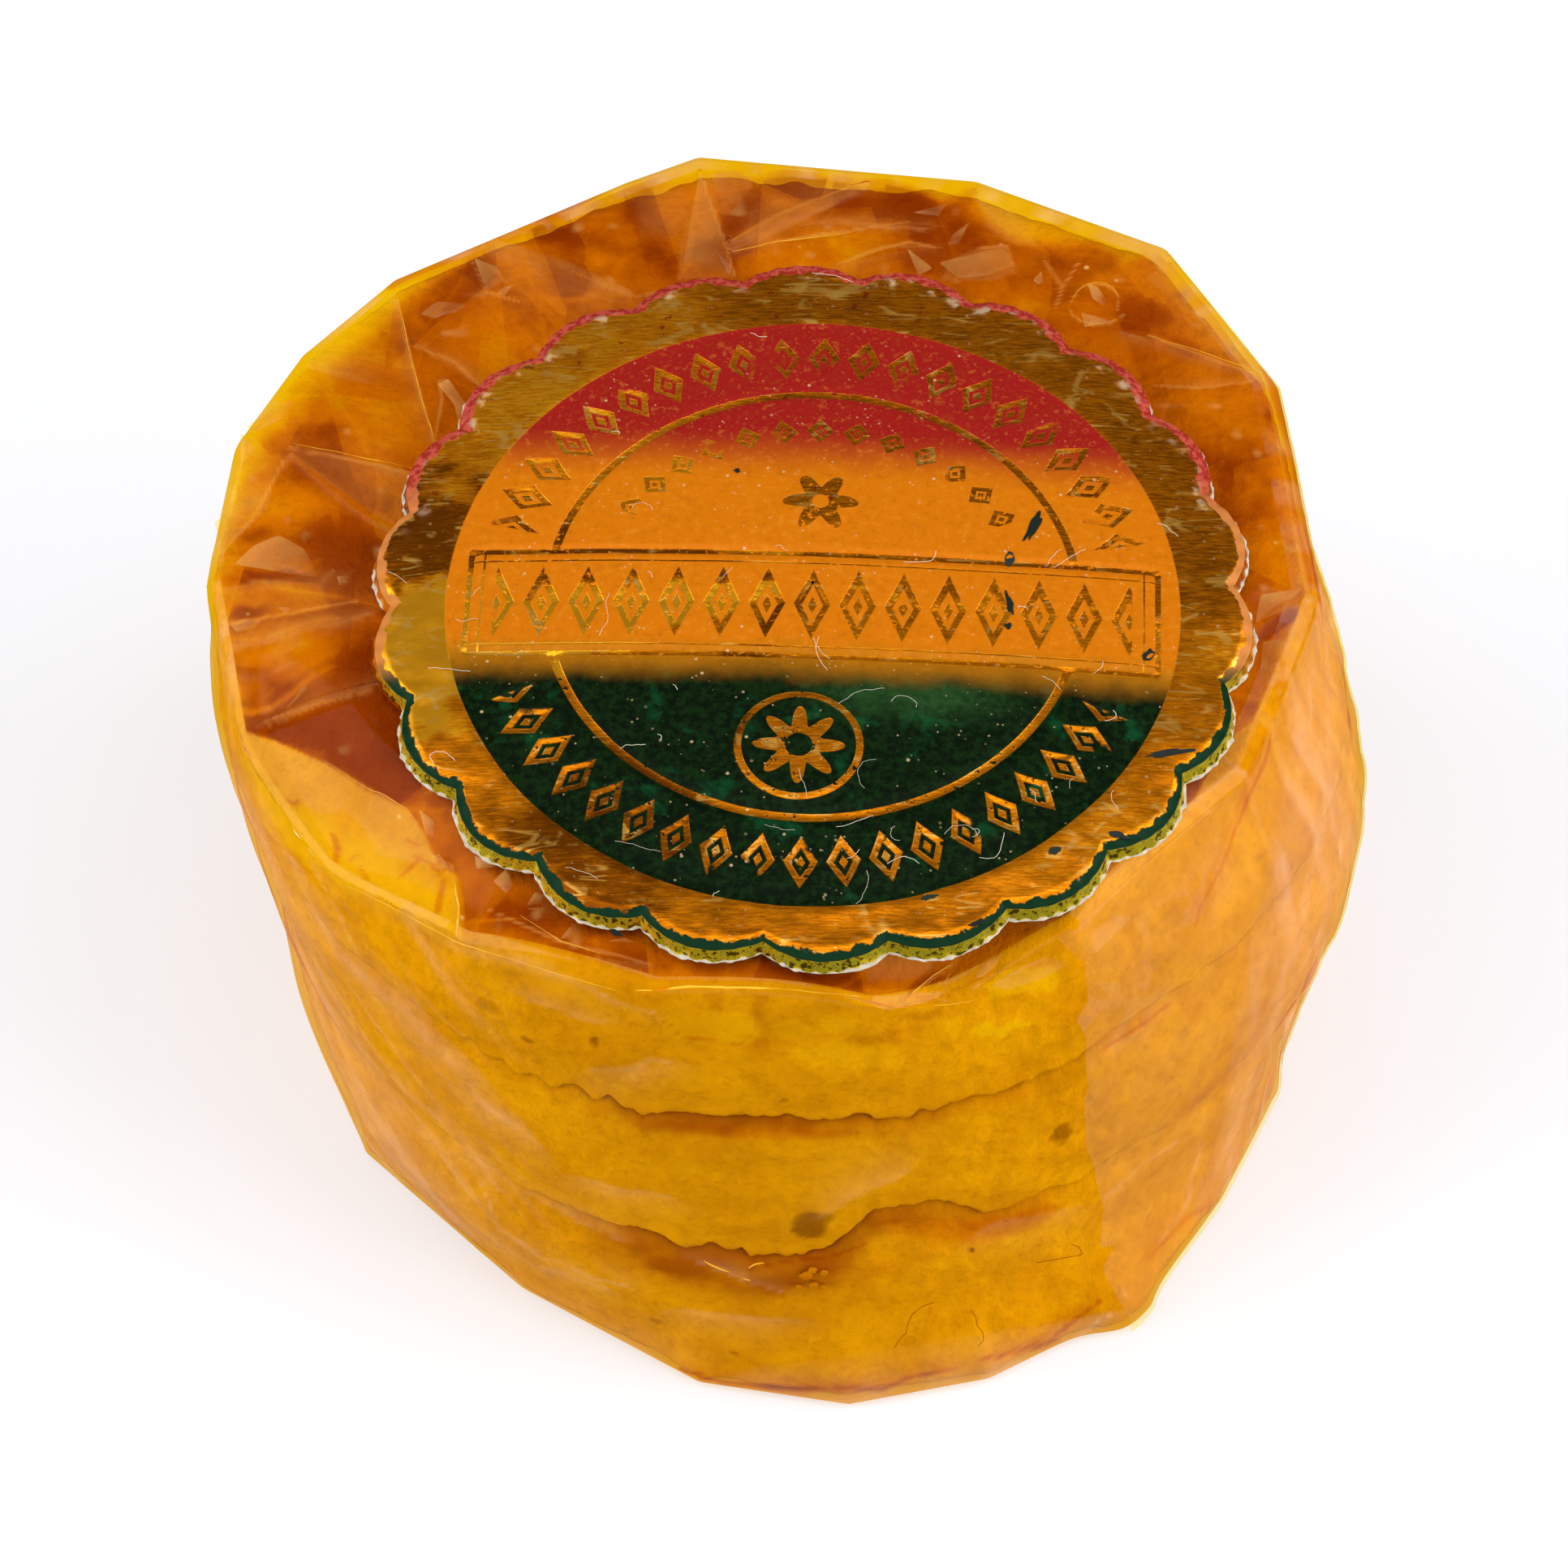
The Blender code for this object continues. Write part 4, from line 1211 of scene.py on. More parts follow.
# Painted glints: thin matte bright tubes along creased edges of the top film, standing in for the light they
# catch: radius and pixels
GLINTS = (
    (0.130, ((784, 1222), (850, 1219), (905, 1220), (961, 1222))),
    (0.040, ((961, 1222), (1010, 1227), (1060, 1232), (1108, 1243), (1172, 1240), (1200, 1237))),
    (0.050, ((1105, 1243), (1126, 1223), (1150, 1202), (1182, 1183))),
    (0.022, ((1172, 1240), (1160, 1222), (1170, 1200))),
    (0.070, ((561, 1094), (566, 1120), (563, 1160))),
    (0.022, ((398, 941), (453, 974), (501, 998), (522, 1025))),
    (0.035, ((425, 1091), (500, 1127), (563, 1162), (694, 1203), (760, 1222))),
    (0.025, ((355, 553), (430, 567), (504, 581))),
    (0.030, ((489, 369), (508, 453), (535, 545))),
    (0.025, ((896, 312), (953, 298), (1060, 284))),
    (0.016, ((1319, 374), (1326, 361), (1337, 352), (1350, 349), (1363, 351), (1373, 358), (1379, 369))),
    (0.012, ((1316, 378), (1322, 389), (1333, 397), (1347, 401), (1362, 400), (1378, 394))),
    (0.022, ((1416, 414), (1500, 445), (1559, 464))),
    (0.022, ((640, 1128), (690, 1160), (740, 1176))),
)


# The same on the side
SIDE_GLINTS = (
    (0.060, ((867, 1553), (876, 1558), (888, 1563), (899, 1567))),
    (0.055, ((922, 1562), (930, 1557), (942, 1555))),
    (0.035, ((915, 1574), (925, 1577))),
)


def make_film_glints():
    grids = []
    for radius, path in SIDE_GLINTS:
        angle, height = side_place(bend(path, 12))
        spine = skin_point(angle, side_radius(angle, height) + side_relief(angle, height) + 0.02, height)
        grids.append(tube(spine, thread_radius(radius, 12)))
    for radius, path in GLINTS:
        x, y = top_place(bend(path, 40))
        spine = on_top(x, y, 0.06)
        spine = spine + 0.05 * stack_of(noise(spine, 1.3, 421), noise(spine, 1.3, 423), 0.0 * x)
        uneven = (0.7 + 0.5 * noise(spine, 1.0, 425))[:, None, None]
        grids.append(tube(spine, thread_radius(radius, 40) * uneven))
    # A matte bright yellow that stands in for the glint
    material = plain_material("film_glint", 0.35, paint(246, 186, 26))
    piece = join_grids("film_glints", grids, material, {})
    return piece


# Small flat facets of crumpled film, made pale as a painted highlight where they catch the light: how pale,
# and their corners in the photo
FACETS = (
    (0.62, ((288, 697), (312, 675), (344, 663), (376, 680), (393, 714), (337, 707))),
    (0.35, ((862, 215), (904, 341), (841, 327))),
    (0.35, ((876, 215), (911, 212), (932, 226), (914, 247), (890, 264))),
    (0.90, ((1118, 308), (1149, 334), (1132, 343), (1125, 327))),
    (0.65, ((1195, 275), (1181, 303), (1167, 306), (1174, 292))),
    (0.50, ((1125, 264), (1167, 252), (1156, 268))),
    (0.40, ((1156, 327), (1234, 306), (1251, 327), (1216, 341), (1181, 345))),
    (0.80, ((1273, 345), (1283, 334), (1286, 348), (1280, 350))),
    (0.90, ((1340, 352), (1352, 356), (1364, 372), (1360, 380), (1346, 370))),
    (0.55, ((1332, 387), (1375, 398), (1336, 405))),
    (0.80, ((584, 319), (612, 331), (623, 350), (602, 359), (595, 348))),
    (0.60, ((612, 364), (620, 357), (633, 354), (622, 366))),
    (0.45, ((518, 391), (539, 376), (577, 378), (567, 387), (535, 398))),
    (0.80, ((539, 475), (553, 468), (581, 510), (567, 531), (560, 500))),
    (0.40, ((304, 527), (346, 496), (363, 496), (349, 517), (314, 534))),
    (0.50, ((297, 534), (314, 555), (293, 580))),
    (0.40, ((264, 644), (337, 600), (330, 630), (275, 680))),
    (0.70, ((284, 772), (300, 764), (322, 762), (318, 775), (292, 780))),
    (0.60, ((415, 712), (430, 712), (432, 722), (418, 724))),
    (0.45, ((341, 749), (358, 749), (354, 757))),
    (0.60, ((332, 868), (340, 878), (325, 884))),
    (0.60, ((376, 845), (380, 852), (352, 878))),
    (0.85, ((516, 998), (535, 1012), (535, 1032), (525, 1029))),
    (0.80, ((532, 1053), (560, 1067), (560, 1080), (535, 1073))),
    (0.75, ((585, 1056), (618, 1063), (608, 1070), (587, 1073))),
    (0.85, ((625, 1070), (632, 1091), (625, 1104), (608, 1087))),
    (0.65, ((659, 1101), (673, 1104), (666, 1115), (649, 1117))),
    (0.80, ((649, 1121), (673, 1120), (671, 1126))),
    (0.75, ((690, 1158), (704, 1142), (708, 1156))),
    (0.75, ((749, 1161), (770, 1157), (783, 1163))),
    (0.85, ((1553, 734), (1584, 729), (1604, 725), (1594, 742), (1584, 757), (1546, 773))),
    (0.45, ((1556, 793), (1579, 788), (1589, 852), (1551, 849))),
    (0.70, ((1193, 1215), (1217, 1185), (1236, 1180), (1228, 1196), (1206, 1220), (1198, 1226))),
    (0.45, ((1220, 1220), (1255, 1199), (1289, 1185), (1319, 1193), (1281, 1215), (1241, 1226))),
    (0.60, ((1131, 1228), (1161, 1228), (1169, 1239), (1131, 1236))),
    (0.40, ((1302, 1161), (1345, 1138), (1375, 1128), (1395, 1132), (1333, 1193))),
)


def make_film_facets(material):
    grids, facet_sheens = [], []
    for strength, corners in FACETS:
        outline = closed_path(corners, 40)
        middle = outline.mean(axis=0)
        rings = np.stack([middle + (outline - middle) * share for share in (0.02, 0.35, 0.7, 1.0)])
        x, y = top_place(rings)
        lift = 0.10 + 0.16 * (1.0 - np.array([0.0, 0.35, 0.7, 1.0])[:, None] ** 2)
        grids.append(on_top(x, y, lift))
        spread = np.hypot(*np.moveaxis(rings - rings[-1].min(axis=0), -1, 0)) / np.ptp(outline, axis=0).max()
        facet_sheens.append(strength * np.clip(1.2 - 0.9 * spread + 0.5 * noise(grids[-1], 1.2, 301), 0.08, 1))
    marks = {"painted_sheen": facet_sheens, "depth": [0.0] * len(grids)}
    piece = join_grids("film_facets", grids, material, marks)
    return piece


def closed_path(corners, count):
    """An outline with slightly rounded corners through a ring of pixels; its end meets its start."""
    corners = np.asarray(corners, float)
    inner = bend(np.concatenate([corners, corners[:1]]), count)[:-1]
    softened = 0.6 * inner + 0.2 * np.roll(inner, 1, axis=0) + 0.2 * np.roll(inner, -1, axis=0)
    return np.concatenate([softened, softened[:1]])


# The seal's print, in millimetres from the print's centre, which lies a little in front of the seal's
PRINT_SHIFT = -0.9
PRINT_TURN = -2.3
PRINT_RADIUS = 21.15
RING_RADIUS = 15.35
RING_WIDTH = 0.24
BAND_TOP = 3.0
BAND_BOTTOM = -4.35
BAND_REACH = 19.85
BAND_LINE = 0.17
UPPER_ROSETTE = (0.2, 6.9)
LOWER_ROSETTE = (-0.4, -10.6)
ARC_RADIUS = 18.3
ARC_PITCH = 7.5
BAND_PITCH = 2.6
INNER_RADIUS = 12.4
INNER_PITCH = 10.0


def paint(red, green, blue):
    """A colour given as the eye sees it, 0 to 255, as the light it sends back."""
    seen = np.array([red, green, blue]) / 255.0
    return tuple(np.where(seen > 0.04045, ((seen + 0.055) / 1.055) ** 2.4, seen / 12.92).tolist())


# The foil's colour between its painted dark reflection and its gold
FOIL_GOLD = (0.88, 0.262, 0.003)
FOIL_DARK = (0.25, 0.062, 0.0005)
# Painted reflection: how the foil brightens and darkens round the seal: angle, half width, softness and
# amount
FOIL_SHADES = (
    (167, 8, 5, -0.75), (190, 13, 7, 1.15), (143, 15, 12, 0.35), (122, 14, 12, 0.25), (72, 32, 24, -0.25),
    (15, 24, 18, -0.30), (-10, 4, 5, 0.4), (236, 13, 10, -0.7), (-48, 14, 12, 0.15),
)
# Fine scratches in the foil: the way they run and how far apart they lie, in millimetres
SCRATCHES = ((8, 1.5), (-24, 2.2), (62, 2.6))
INK_CRIMSON = paint(156, 26, 22)
INK_ORANGE = paint(212, 116, 4)


def scallop_radius(angle):
    across = (angle - SCALLOP_TURN) * SCALLOPS / 360.0 % 1.0 * 2.0 - 1.0
    return SEAL_RADIUS - SCALLOP_DEPTH * across * across


def to_print(x, y):
    """A place on the seal, in the print's own turned axes."""
    turn = math.radians(-PRINT_TURN)
    y = y - PRINT_SHIFT
    return x * math.cos(turn) - y * math.sin(turn), x * math.sin(turn) + y * math.cos(turn)


def line_mask(value, centre, half_width, soft):
    return smooth_step((half_width + soft - np.abs(value - centre)) / soft)


def seal_relief(x, y):
    """The stamped lines: a step at the print's edge, the ring, the band's frame and the ornament."""
    across, along = to_print(x, y)
    radius = np.hypot(across, along)
    angle = np.degrees(np.arctan2(along, across))
    in_band = (along < BAND_TOP) & (along > BAND_BOTTOM)
    height = 0.10 * smooth_step((radius - PRINT_RADIUS) / 0.4 + 0.5)
    height = height - 0.12 * line_mask(radius, RING_RADIUS, RING_WIDTH, 0.3) * ~in_band
    for level in (BAND_TOP, BAND_BOTTOM):
        height = height - 0.12 * line_mask(along, level, BAND_LINE, 0.3) * (np.abs(across) < BAND_REACH)
    height = height - 0.12 * line_mask(np.abs(across), BAND_REACH, BAND_LINE, 0.3) * in_band
    step = angle / ARC_PITCH
    beside = (step - np.round(step)) * math.radians(ARC_PITCH) * ARC_RADIUS
    lozenge = np.abs(beside) / 0.9 + np.abs(radius - ARC_RADIUS) / 1.6
    on_arc = (np.abs(angle - 90) < 75) | (np.abs(angle + 90) < 67)
    height = height - 0.10 * smooth_step((1.0 - lozenge) / 0.3) * on_arc
    step = across / BAND_PITCH
    lozenge = np.abs(step - np.round(step)) * BAND_PITCH / 1.0 + np.abs(along + 0.7) / 2.4
    height = height - 0.10 * smooth_step((1.0 - lozenge) / 0.3) * in_band * (np.abs(across) < 18.6)
    for (middle_x, middle_y), reach in ((UPPER_ROSETTE, 2.2), (LOWER_ROSETTE, 3.9)):
        away = np.hypot(across - middle_x, along - middle_y)
        height = height + 0.10 * smooth_step((reach - away) / 0.5)
    return height


def seal_height(x, y):
    return STACK_HEIGHT + SEAL_LIFT + dome_rise(np.hypot(x, y))


def seal_wave(x, y):
    """The foil isn't quite flat: its rim waves a little and dents cross it."""
    points = stack_of(x, y, 0.0 * x)
    rim = smooth_step((np.hypot(x, y) - 19.0) / 5.0)
    crushed = 0.16 * noise(points, 5.0, 92) + 0.09 * rough_noise(points, 1.8, 97)
    return 0.05 * noise(points, 9.0, 91) + rim * crushed + 0.02 * noise(points, 1.4, 93)


def foil_level(x, y):
    """How high the foil lies, without its stamped lines."""
    return seal_height(x, y) + seal_wave(x, y)


def make_seal(material):
    """The pressed foil seal: domed, scalloped, with its edge turned down."""
    count = SCALLOPS * 40
    angle = SCALLOP_TURN + np.linspace(0, 360, count, endpoint=False)
    turn = np.radians(angle)
    rows, skirt, edge = [], [], []
    for share in np.concatenate([np.linspace(0.004, 0.93, 74), np.linspace(0.938, 1.0, 18)]):
        radius = SEAL_RADIUS * share + (scallop_radius(angle) - SEAL_RADIUS) * share ** 6
        x, y = radius * np.cos(turn), radius * np.sin(turn)
        at_rim = smooth_step((share - 0.968) / 0.032)
        rolled = (0.22 - 0.05 * np.sin(turn * 130.0)) * at_rim
        rows.append(stack_of(x, y, foil_level(x, y) + seal_relief(x, y) - rolled))
        skirt.append(0.0 * angle)
        edge.append(scallop_radius(angle) - radius)
    for down in (0.15, 0.4, 0.7, 1.0):
        chance = noise(stack_of(turn * 9, 0.0, 0.0), 1.0, 95)
        crimp = 0.07 * np.sin(turn * 170.0 + 3.0 * chance) * down
        radius = scallop_radius(angle) + 0.20 * down + crimp
        x, y = radius * np.cos(turn), radius * np.sin(turn)
        rows.append(stack_of(x, y, foil_level(x, y) - 0.12 - (SEAL_SKIRT - 0.12) * down))
        skirt.append(0.0 * angle + down)
        edge.append(0.0 * angle)
    grid = np.stack(rows) + SEAL_SHIFT
    marks = {"skirt": np.stack(skirt), "edge": np.stack(edge)}
    piece = grid_piece("seal_foil", grid, material, closed=True, attributes=marks)
    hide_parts("foil_seal")
    return piece


def seal_place(graph):
    """Places on the seal in millimetres: the seal's own x and y, and the print's x and y."""
    metres = graph.add("VectorMath", {0: graph.place(), 1: [c * METRE for c in (*SEAL_CENTRE, 0.0)]},
                       operation="SUBTRACT")
    seal = graph.add("VectorMath", {0: metres, 3: 1.0 / METRE}, operation="SCALE")
    moved = graph.add("VectorMath", {0: seal, 1: (0.0, PRINT_SHIFT, 0.0)}, operation="SUBTRACT")
    turned = graph.add("VectorRotate", {"Vector": moved, "Angle": math.radians(-PRINT_TURN)},
                       rotation_type="Z_AXIS")
    seal_axes = graph.tree.nodes.new("ShaderNodeSeparateXYZ")
    print_axes = graph.tree.nodes.new("ShaderNodeSeparateXYZ")
    graph.tree.links.new(seal, seal_axes.inputs[0])
    graph.tree.links.new(turned, print_axes.inputs[0])
    return seal, seal_axes.outputs[0], seal_axes.outputs[1], print_axes.outputs[0], print_axes.outputs[1]


def radius_of(graph, x, y, middle=(0.0, 0.0)):
    across = graph.minus(x, middle[0])
    along = graph.minus(y, middle[1])
    squares = graph.math("ADD", graph.times(across, across), graph.times(along, along))
    angle = graph.math("DEGREES", graph.math("ARCTAN2", along, across))
    return graph.math("SQRT", squares), angle


def lozenges(graph, step, pitch, level, half_width, half_height, stroke):
    """A row of lozenge outlines, each with a dot in it."""
    beside = graph.times(graph.minus(step, graph.math("ROUND", step)), pitch)
    across = graph.math("DIVIDE", graph.math("ABSOLUTE", beside), half_width)
    shape = graph.math("ADD", across, graph.math("DIVIDE", graph.math("ABSOLUTE", level), half_height))
    outline = graph.near(shape, 1.0 - stroke / 2, stroke / 2, 0.10)
    dot = graph.band(shape, 0.30, 0.22)
    return graph.largest(outline, dot)


def rosette(graph, x, y, middle, petals, reach, heart):
    radius, angle = radius_of(graph, x, y, middle)
    wave = graph.math("COSINE", graph.math("RADIANS", graph.times(angle, petals)))
    rim = graph.times_plus(wave, reach * 0.24, reach * 0.72)
    leaf = graph.band(graph.minus(radius, rim), 0.05, -0.05)
    core = graph.band(radius, heart + 0.05, heart - 0.05)
    return graph.minus(leaf, core)


def seal_material():
    """Brushed gold foil with painted reflection and glints, printed with fields of ink that leave lines and
    ornament bare.
    """
    graph = Graph("printed_foil")
    seal, seal_x, seal_y, x, y = seal_place(graph)
    radius, angle = radius_of(graph, x, y)
    above_band = graph.band(y, BAND_TOP, BAND_TOP + 0.1)
    outside_band = graph.largest(above_band, graph.band(y, BAND_BOTTOM, BAND_BOTTOM - 0.1))
    inside_band = graph.minus(1.0, outside_band)
    beyond_sides = graph.band(graph.math("ABSOLUTE", x), BAND_REACH + 0.1, BAND_REACH)
    ring = graph.times(graph.near(radius, RING_RADIUS, RING_WIDTH), outside_band)
    frame_rows = graph.largest(graph.near(y, BAND_TOP, BAND_LINE), graph.near(y, BAND_BOTTOM, BAND_LINE))
    inner_rows = graph.largest(graph.near(y, BAND_TOP - 0.75, 0.05), graph.near(y, BAND_BOTTOM + 0.6, 0.05))
    frame_rows = graph.times(graph.largest(frame_rows, inner_rows), beyond_sides)
    sides = graph.math("ABSOLUTE", x)
    frame_sides = graph.near(sides, BAND_REACH, BAND_LINE)
    frame_sides = graph.largest(frame_sides, graph.near(sides, BAND_REACH - 0.8, 0.05))
    frame_lines = graph.largest(frame_rows, graph.times(frame_sides, inside_band))

    turned = graph.math("DIVIDE", angle, ARC_PITCH)
    arc_length = math.radians(ARC_PITCH) * ARC_RADIUS
    outer_row = lozenges(graph, turned, arc_length, graph.minus(radius, ARC_RADIUS), 0.95, 1.65, 0.42)
    upper = graph.near(angle, 90.0, 75.0, 0.5)
    lower = graph.near(angle, -90.0, 67.0, 0.5)
    outer_row = graph.times(outer_row, graph.largest(upper, lower))
    inner_step, inner_level = graph.math("DIVIDE", angle, INNER_PITCH), graph.minus(radius, INNER_RADIUS)
    inner_length = math.radians(INNER_PITCH) * INNER_RADIUS
    inner_row = lozenges(graph, inner_step, inner_length, inner_level, 0.8, 0.9, 0.5)
    inner_row = graph.times(inner_row, graph.near(angle, 90.0, 62.0, 0.5))
    band_step, band_level = graph.math("DIVIDE", x, BAND_PITCH), graph.math("ADD", y, 0.7)
    band_row = lozenges(graph, band_step, BAND_PITCH, band_level, 1.05, 2.5, 0.42)
    band_row = graph.times(band_row, inside_band, graph.band(sides, 18.4, 18.3))
    flower = rosette(graph, x, y, LOWER_ROSETTE, 8.0, 2.7, 0.8)
    flower_radius, _ = radius_of(graph, x, y, LOWER_ROSETTE)
    flower = graph.largest(flower, graph.near(flower_radius, 3.45, 0.20))
    small_flower = rosette(graph, x, y, UPPER_ROSETTE, 6.0, 2.3, 0.5)

    patches = graph.noise(3.2, detail=3.0)
    wear = graph.band(patches, 0.36, 0.44)
    fine_wear = graph.band(graph.noise(0.35, detail=2.0), 0.30, 0.42)
    worn_rows = graph.times(graph.largest(outer_row, inner_row, small_flower), wear)
    motif = graph.largest(worn_rows, flower, band_row)
    bare = graph.largest(motif, ring, frame_lines)
    bare = graph.times(bare, fine_wear)
    on_print = graph.band(radius, PRINT_RADIUS + 0.05, PRINT_RADIUS - 0.05)
    inked = graph.times(on_print, graph.minus(1.0, bare))

    cloud = graph.noise(2.2, detail=4.0)
    fine_cloud = graph.noise(0.5, detail=4.0, roughness=0.7)
    level = graph.math("ADD", y, graph.times(graph.minus(cloud, 0.5), 1.6))
    ink = graph.mix(graph.band(level, 8.2, 12.6), INK_ORANGE, INK_CRIMSON)
    gold_line = graph.times(graph.band(level, -3.0, -4.5), 0.8)
    ink = graph.mix(gold_line, ink, paint(176, 112, 10))
    green_share = graph.band(level, -4.0, -6.7)
    ink = graph.mix(graph.times(graph.band(fine_cloud, 0.52, 0.70), 0.30), ink, paint(150, 80, 10))
    ink = graph.mix(graph.times(graph.band(fine_cloud, 0.46, 0.34), 0.15), ink, paint(246, 170, 60))
    greens = graph.mix(graph.band(fine_cloud, 0.40, 0.64), paint(3, 16, 2), paint(14, 38, 8))
    # A painted sheen on the green ink
    sheen = graph.times(graph.near(x, 6.0, 4.5, 7.0), graph.near(level, -7.0, 1.0, 3.0), fine_cloud)
    greens = graph.mix(sheen, greens, paint(50, 92, 44))
    ink = graph.mix(green_share, ink, greens)
    speck_cells = graph.add("TexVoronoi", {"Vector": seal, "Scale": 0.9, "Randomness": 1.0}, output=0)
    specks = graph.band(speck_cells, 0.12, 0.05)
    specks = graph.times(specks, graph.band(graph.noise(2.8, detail=2.0), 0.45, 0.6))
    dust_cells = graph.add("TexVoronoi", {"Vector": seal, "Scale": 2.1, "Randomness": 1.0}, output=0)
    dust = graph.band(dust_cells, 0.17, 0.09)
    dust = graph.times(dust, graph.band(graph.noise(1.5, detail=3.0), 0.52, 0.60))
    specks = graph.largest(specks, graph.times(dust, 0.75))
    blotch = graph.times(graph.band(cloud, 0.57, 0.72), 0.4)
    ink = graph.mix(graph.times(blotch, green_share), ink, paint(8, 96, 52))
    ink = graph.mix(graph.times(specks, 0.65), ink, paint(226, 196, 150))

    brushed = graph.add("VectorMath", {0: seal, 1: (0.3, 2.2, 1.0)}, operation="MULTIPLY")
    strokes = graph.add("TexNoise", {"Vector": brushed, "Scale": 3.2, "Detail": 5.0, "Roughness": 0.75})
    strokes_and_reflection = graph.times_plus(graph.band(strokes, 0.38, 0.62), 0.62, 0.07)
    seal_angle = radius_of(graph, seal_x, seal_y)[1]
    wavy = graph.times_plus(graph.minus(graph.noise(3.0, detail=3.0), 0.5), 26.0, seal_angle)
    around = graph.math("WRAP", wavy, 270.0, -90.0)
    strokes_and_reflection = graph.times_plus(graph.noise(4.0, detail=3.0), 0.6, strokes_and_reflection)
    for centre, half_width, soft, amount in FOIL_SHADES:
        shade = graph.near(around, centre, half_width, soft)
        strokes_and_reflection = graph.times_plus(shade, amount, strokes_and_reflection)
    # Brushed strokes and painted reflection set the foil's colour, with a painted glint where brightest
    foil = graph.mix(strokes_and_reflection, FOIL_DARK, FOIL_GOLD)
    foil = graph.mix(graph.band(strokes_and_reflection, 0.9, 1.4), foil, (1.0, 0.43, 0.012))
    stray = graph.band(graph.noise(0.9, detail=3.0, where=graph.place()), 0.64, 0.68)
    stray = graph.times(stray, graph.near(around, 115.0, 45.0, 20.0))
    foil = graph.mix(graph.times(stray, 0.7), foil, INK_CRIMSON)
    for turn, size in SCRATCHES:
        where = graph.add("Mapping", {"Vector": seal, "Rotation": (0.0, 0.0, math.radians(turn)),
                                      "Scale": (0.12 / size, 1.0 / size, 1.0)})
        mark = graph.add("TexVoronoi", {"Vector": where, "Scale": 1.0}, feature="DISTANCE_TO_EDGE")
        mark = graph.times(graph.band(mark, 0.035, 0.01), graph.band(graph.noise(1.6, detail=2.0), 0.5, 0.62))
        foil = graph.mix(graph.times(mark, 0.55), foil, (1.0, 0.55, 0.10))
    foil = graph.mix(graph.times(specks, 0.5), foil, paint(250, 220, 160))

    edge, skirt = graph.attribute("edge"), graph.attribute("skirt")
    at_back = graph.band(seal_y, 5.5, 9.0)
    at_front = graph.band(seal_y, -4.0, -6.5)
    rim_line = graph.times_plus(graph.noise(0.9, detail=4.0), 1.1, edge)
    rim_line = graph.times_plus(at_back, -0.30, rim_line)
    at_edge = graph.band(rim_line, 1.08, 0.98)
    beads = graph.band(graph.noise(0.42, detail=2.0), 0.42, 0.58)
    back_ink = graph.mix(beads, paint(164, 44, 34), paint(198, 82, 66))
    rim_ink = graph.mix(at_back, paint(206, 128, 62), back_ink)
    rim_ink = graph.mix(at_front, rim_ink, paint(6, 46, 24))
    scuffs = graph.band(graph.noise(1.1, detail=4.0), 0.50, 0.64)
    scuffs = graph.times(graph.near(edge, 0.95, 0.35, 0.5), scuffs)
    scuffs = graph.times(scuffs, graph.band(seal_y, 3.0, 8.0), graph.band(patches, 0.42, 0.55))
    ribs = graph.noise(0.35, detail=3.0)
    skirt_flecks = graph.band(ribs, 0.56, 0.60)
    on_skirt = graph.band(skirt, 0.02, 0.12)
    rim_share = graph.largest(graph.times(at_edge, graph.minus(1.0, on_skirt)),
                       graph.times(on_skirt, skirt_flecks, 0.7))

    metal_share = graph.minus(1.0, graph.largest(inked, rim_share, scuffs))
    base = graph.mix(inked, foil, ink)
    skirt_gold = graph.mix(graph.band(ribs, 0.38, 0.48), paint(110, 90, 6), paint(250, 222, 44))
    base = graph.mix(graph.times(on_skirt, at_front), base, skirt_gold)
    base = graph.mix(rim_share, base, rim_ink)
    base = graph.mix(graph.times(scuffs, 0.75), base, paint(178, 164, 138))
    metallic = graph.times_plus(metal_share, 0.72, 0.1)
    roughness = graph.times_plus(metal_share, -0.12, 0.46)
    dents = graph.times_plus(strokes, 0.25, graph.times(bare, -0.8))
    normal = graph.bump(dents, 0.45, 0.10)
    shader = graph.add("BsdfPrincipled", {"Base Color": base, "Metallic": metallic, "Roughness": roughness,
                                          "Specular IOR Level": 0.08, "Normal": normal})
    return graph.finish(shader)


def make_seal_paper():
    """The paper under the foil, whose torn white edge shows below the turned-down rim."""
    angle = SCALLOP_TURN + np.linspace(0, 360, SCALLOPS * 60, endpoint=False)
    turn = np.radians(angle)
    ring = on_circle(angle, 25.0)
    fuzz = 0.10 * rough_noise(ring, 0.8, 71) + 0.16 * np.clip(noise(ring, 0.35, 73), 0, 1)
    rows = []
    for out, up in ((-0.5, 0.10), (0.05, 0.06), (0.22, 0.0), (0.30, -0.02), (0.24, -0.10), (-0.4, -0.10)):
        radius = scallop_radius(angle) + out + fuzz * (out > 0)
        x, y = radius * np.cos(turn), radius * np.sin(turn)
        base = foil_level(x, y) - SEAL_SKIRT
        rows.append(stack_of(x, y, base + up + 0.4 * fuzz * (out > 0.2)))
    grid = np.stack(rows) + SEAL_SHIFT
    material = plain_material("torn_paper", 0.9, paint(150, 128, 88), paint(238, 234, 222), size=0.4)
    piece = grid_piece("seal_paper", grid, material, closed=True)
    return piece


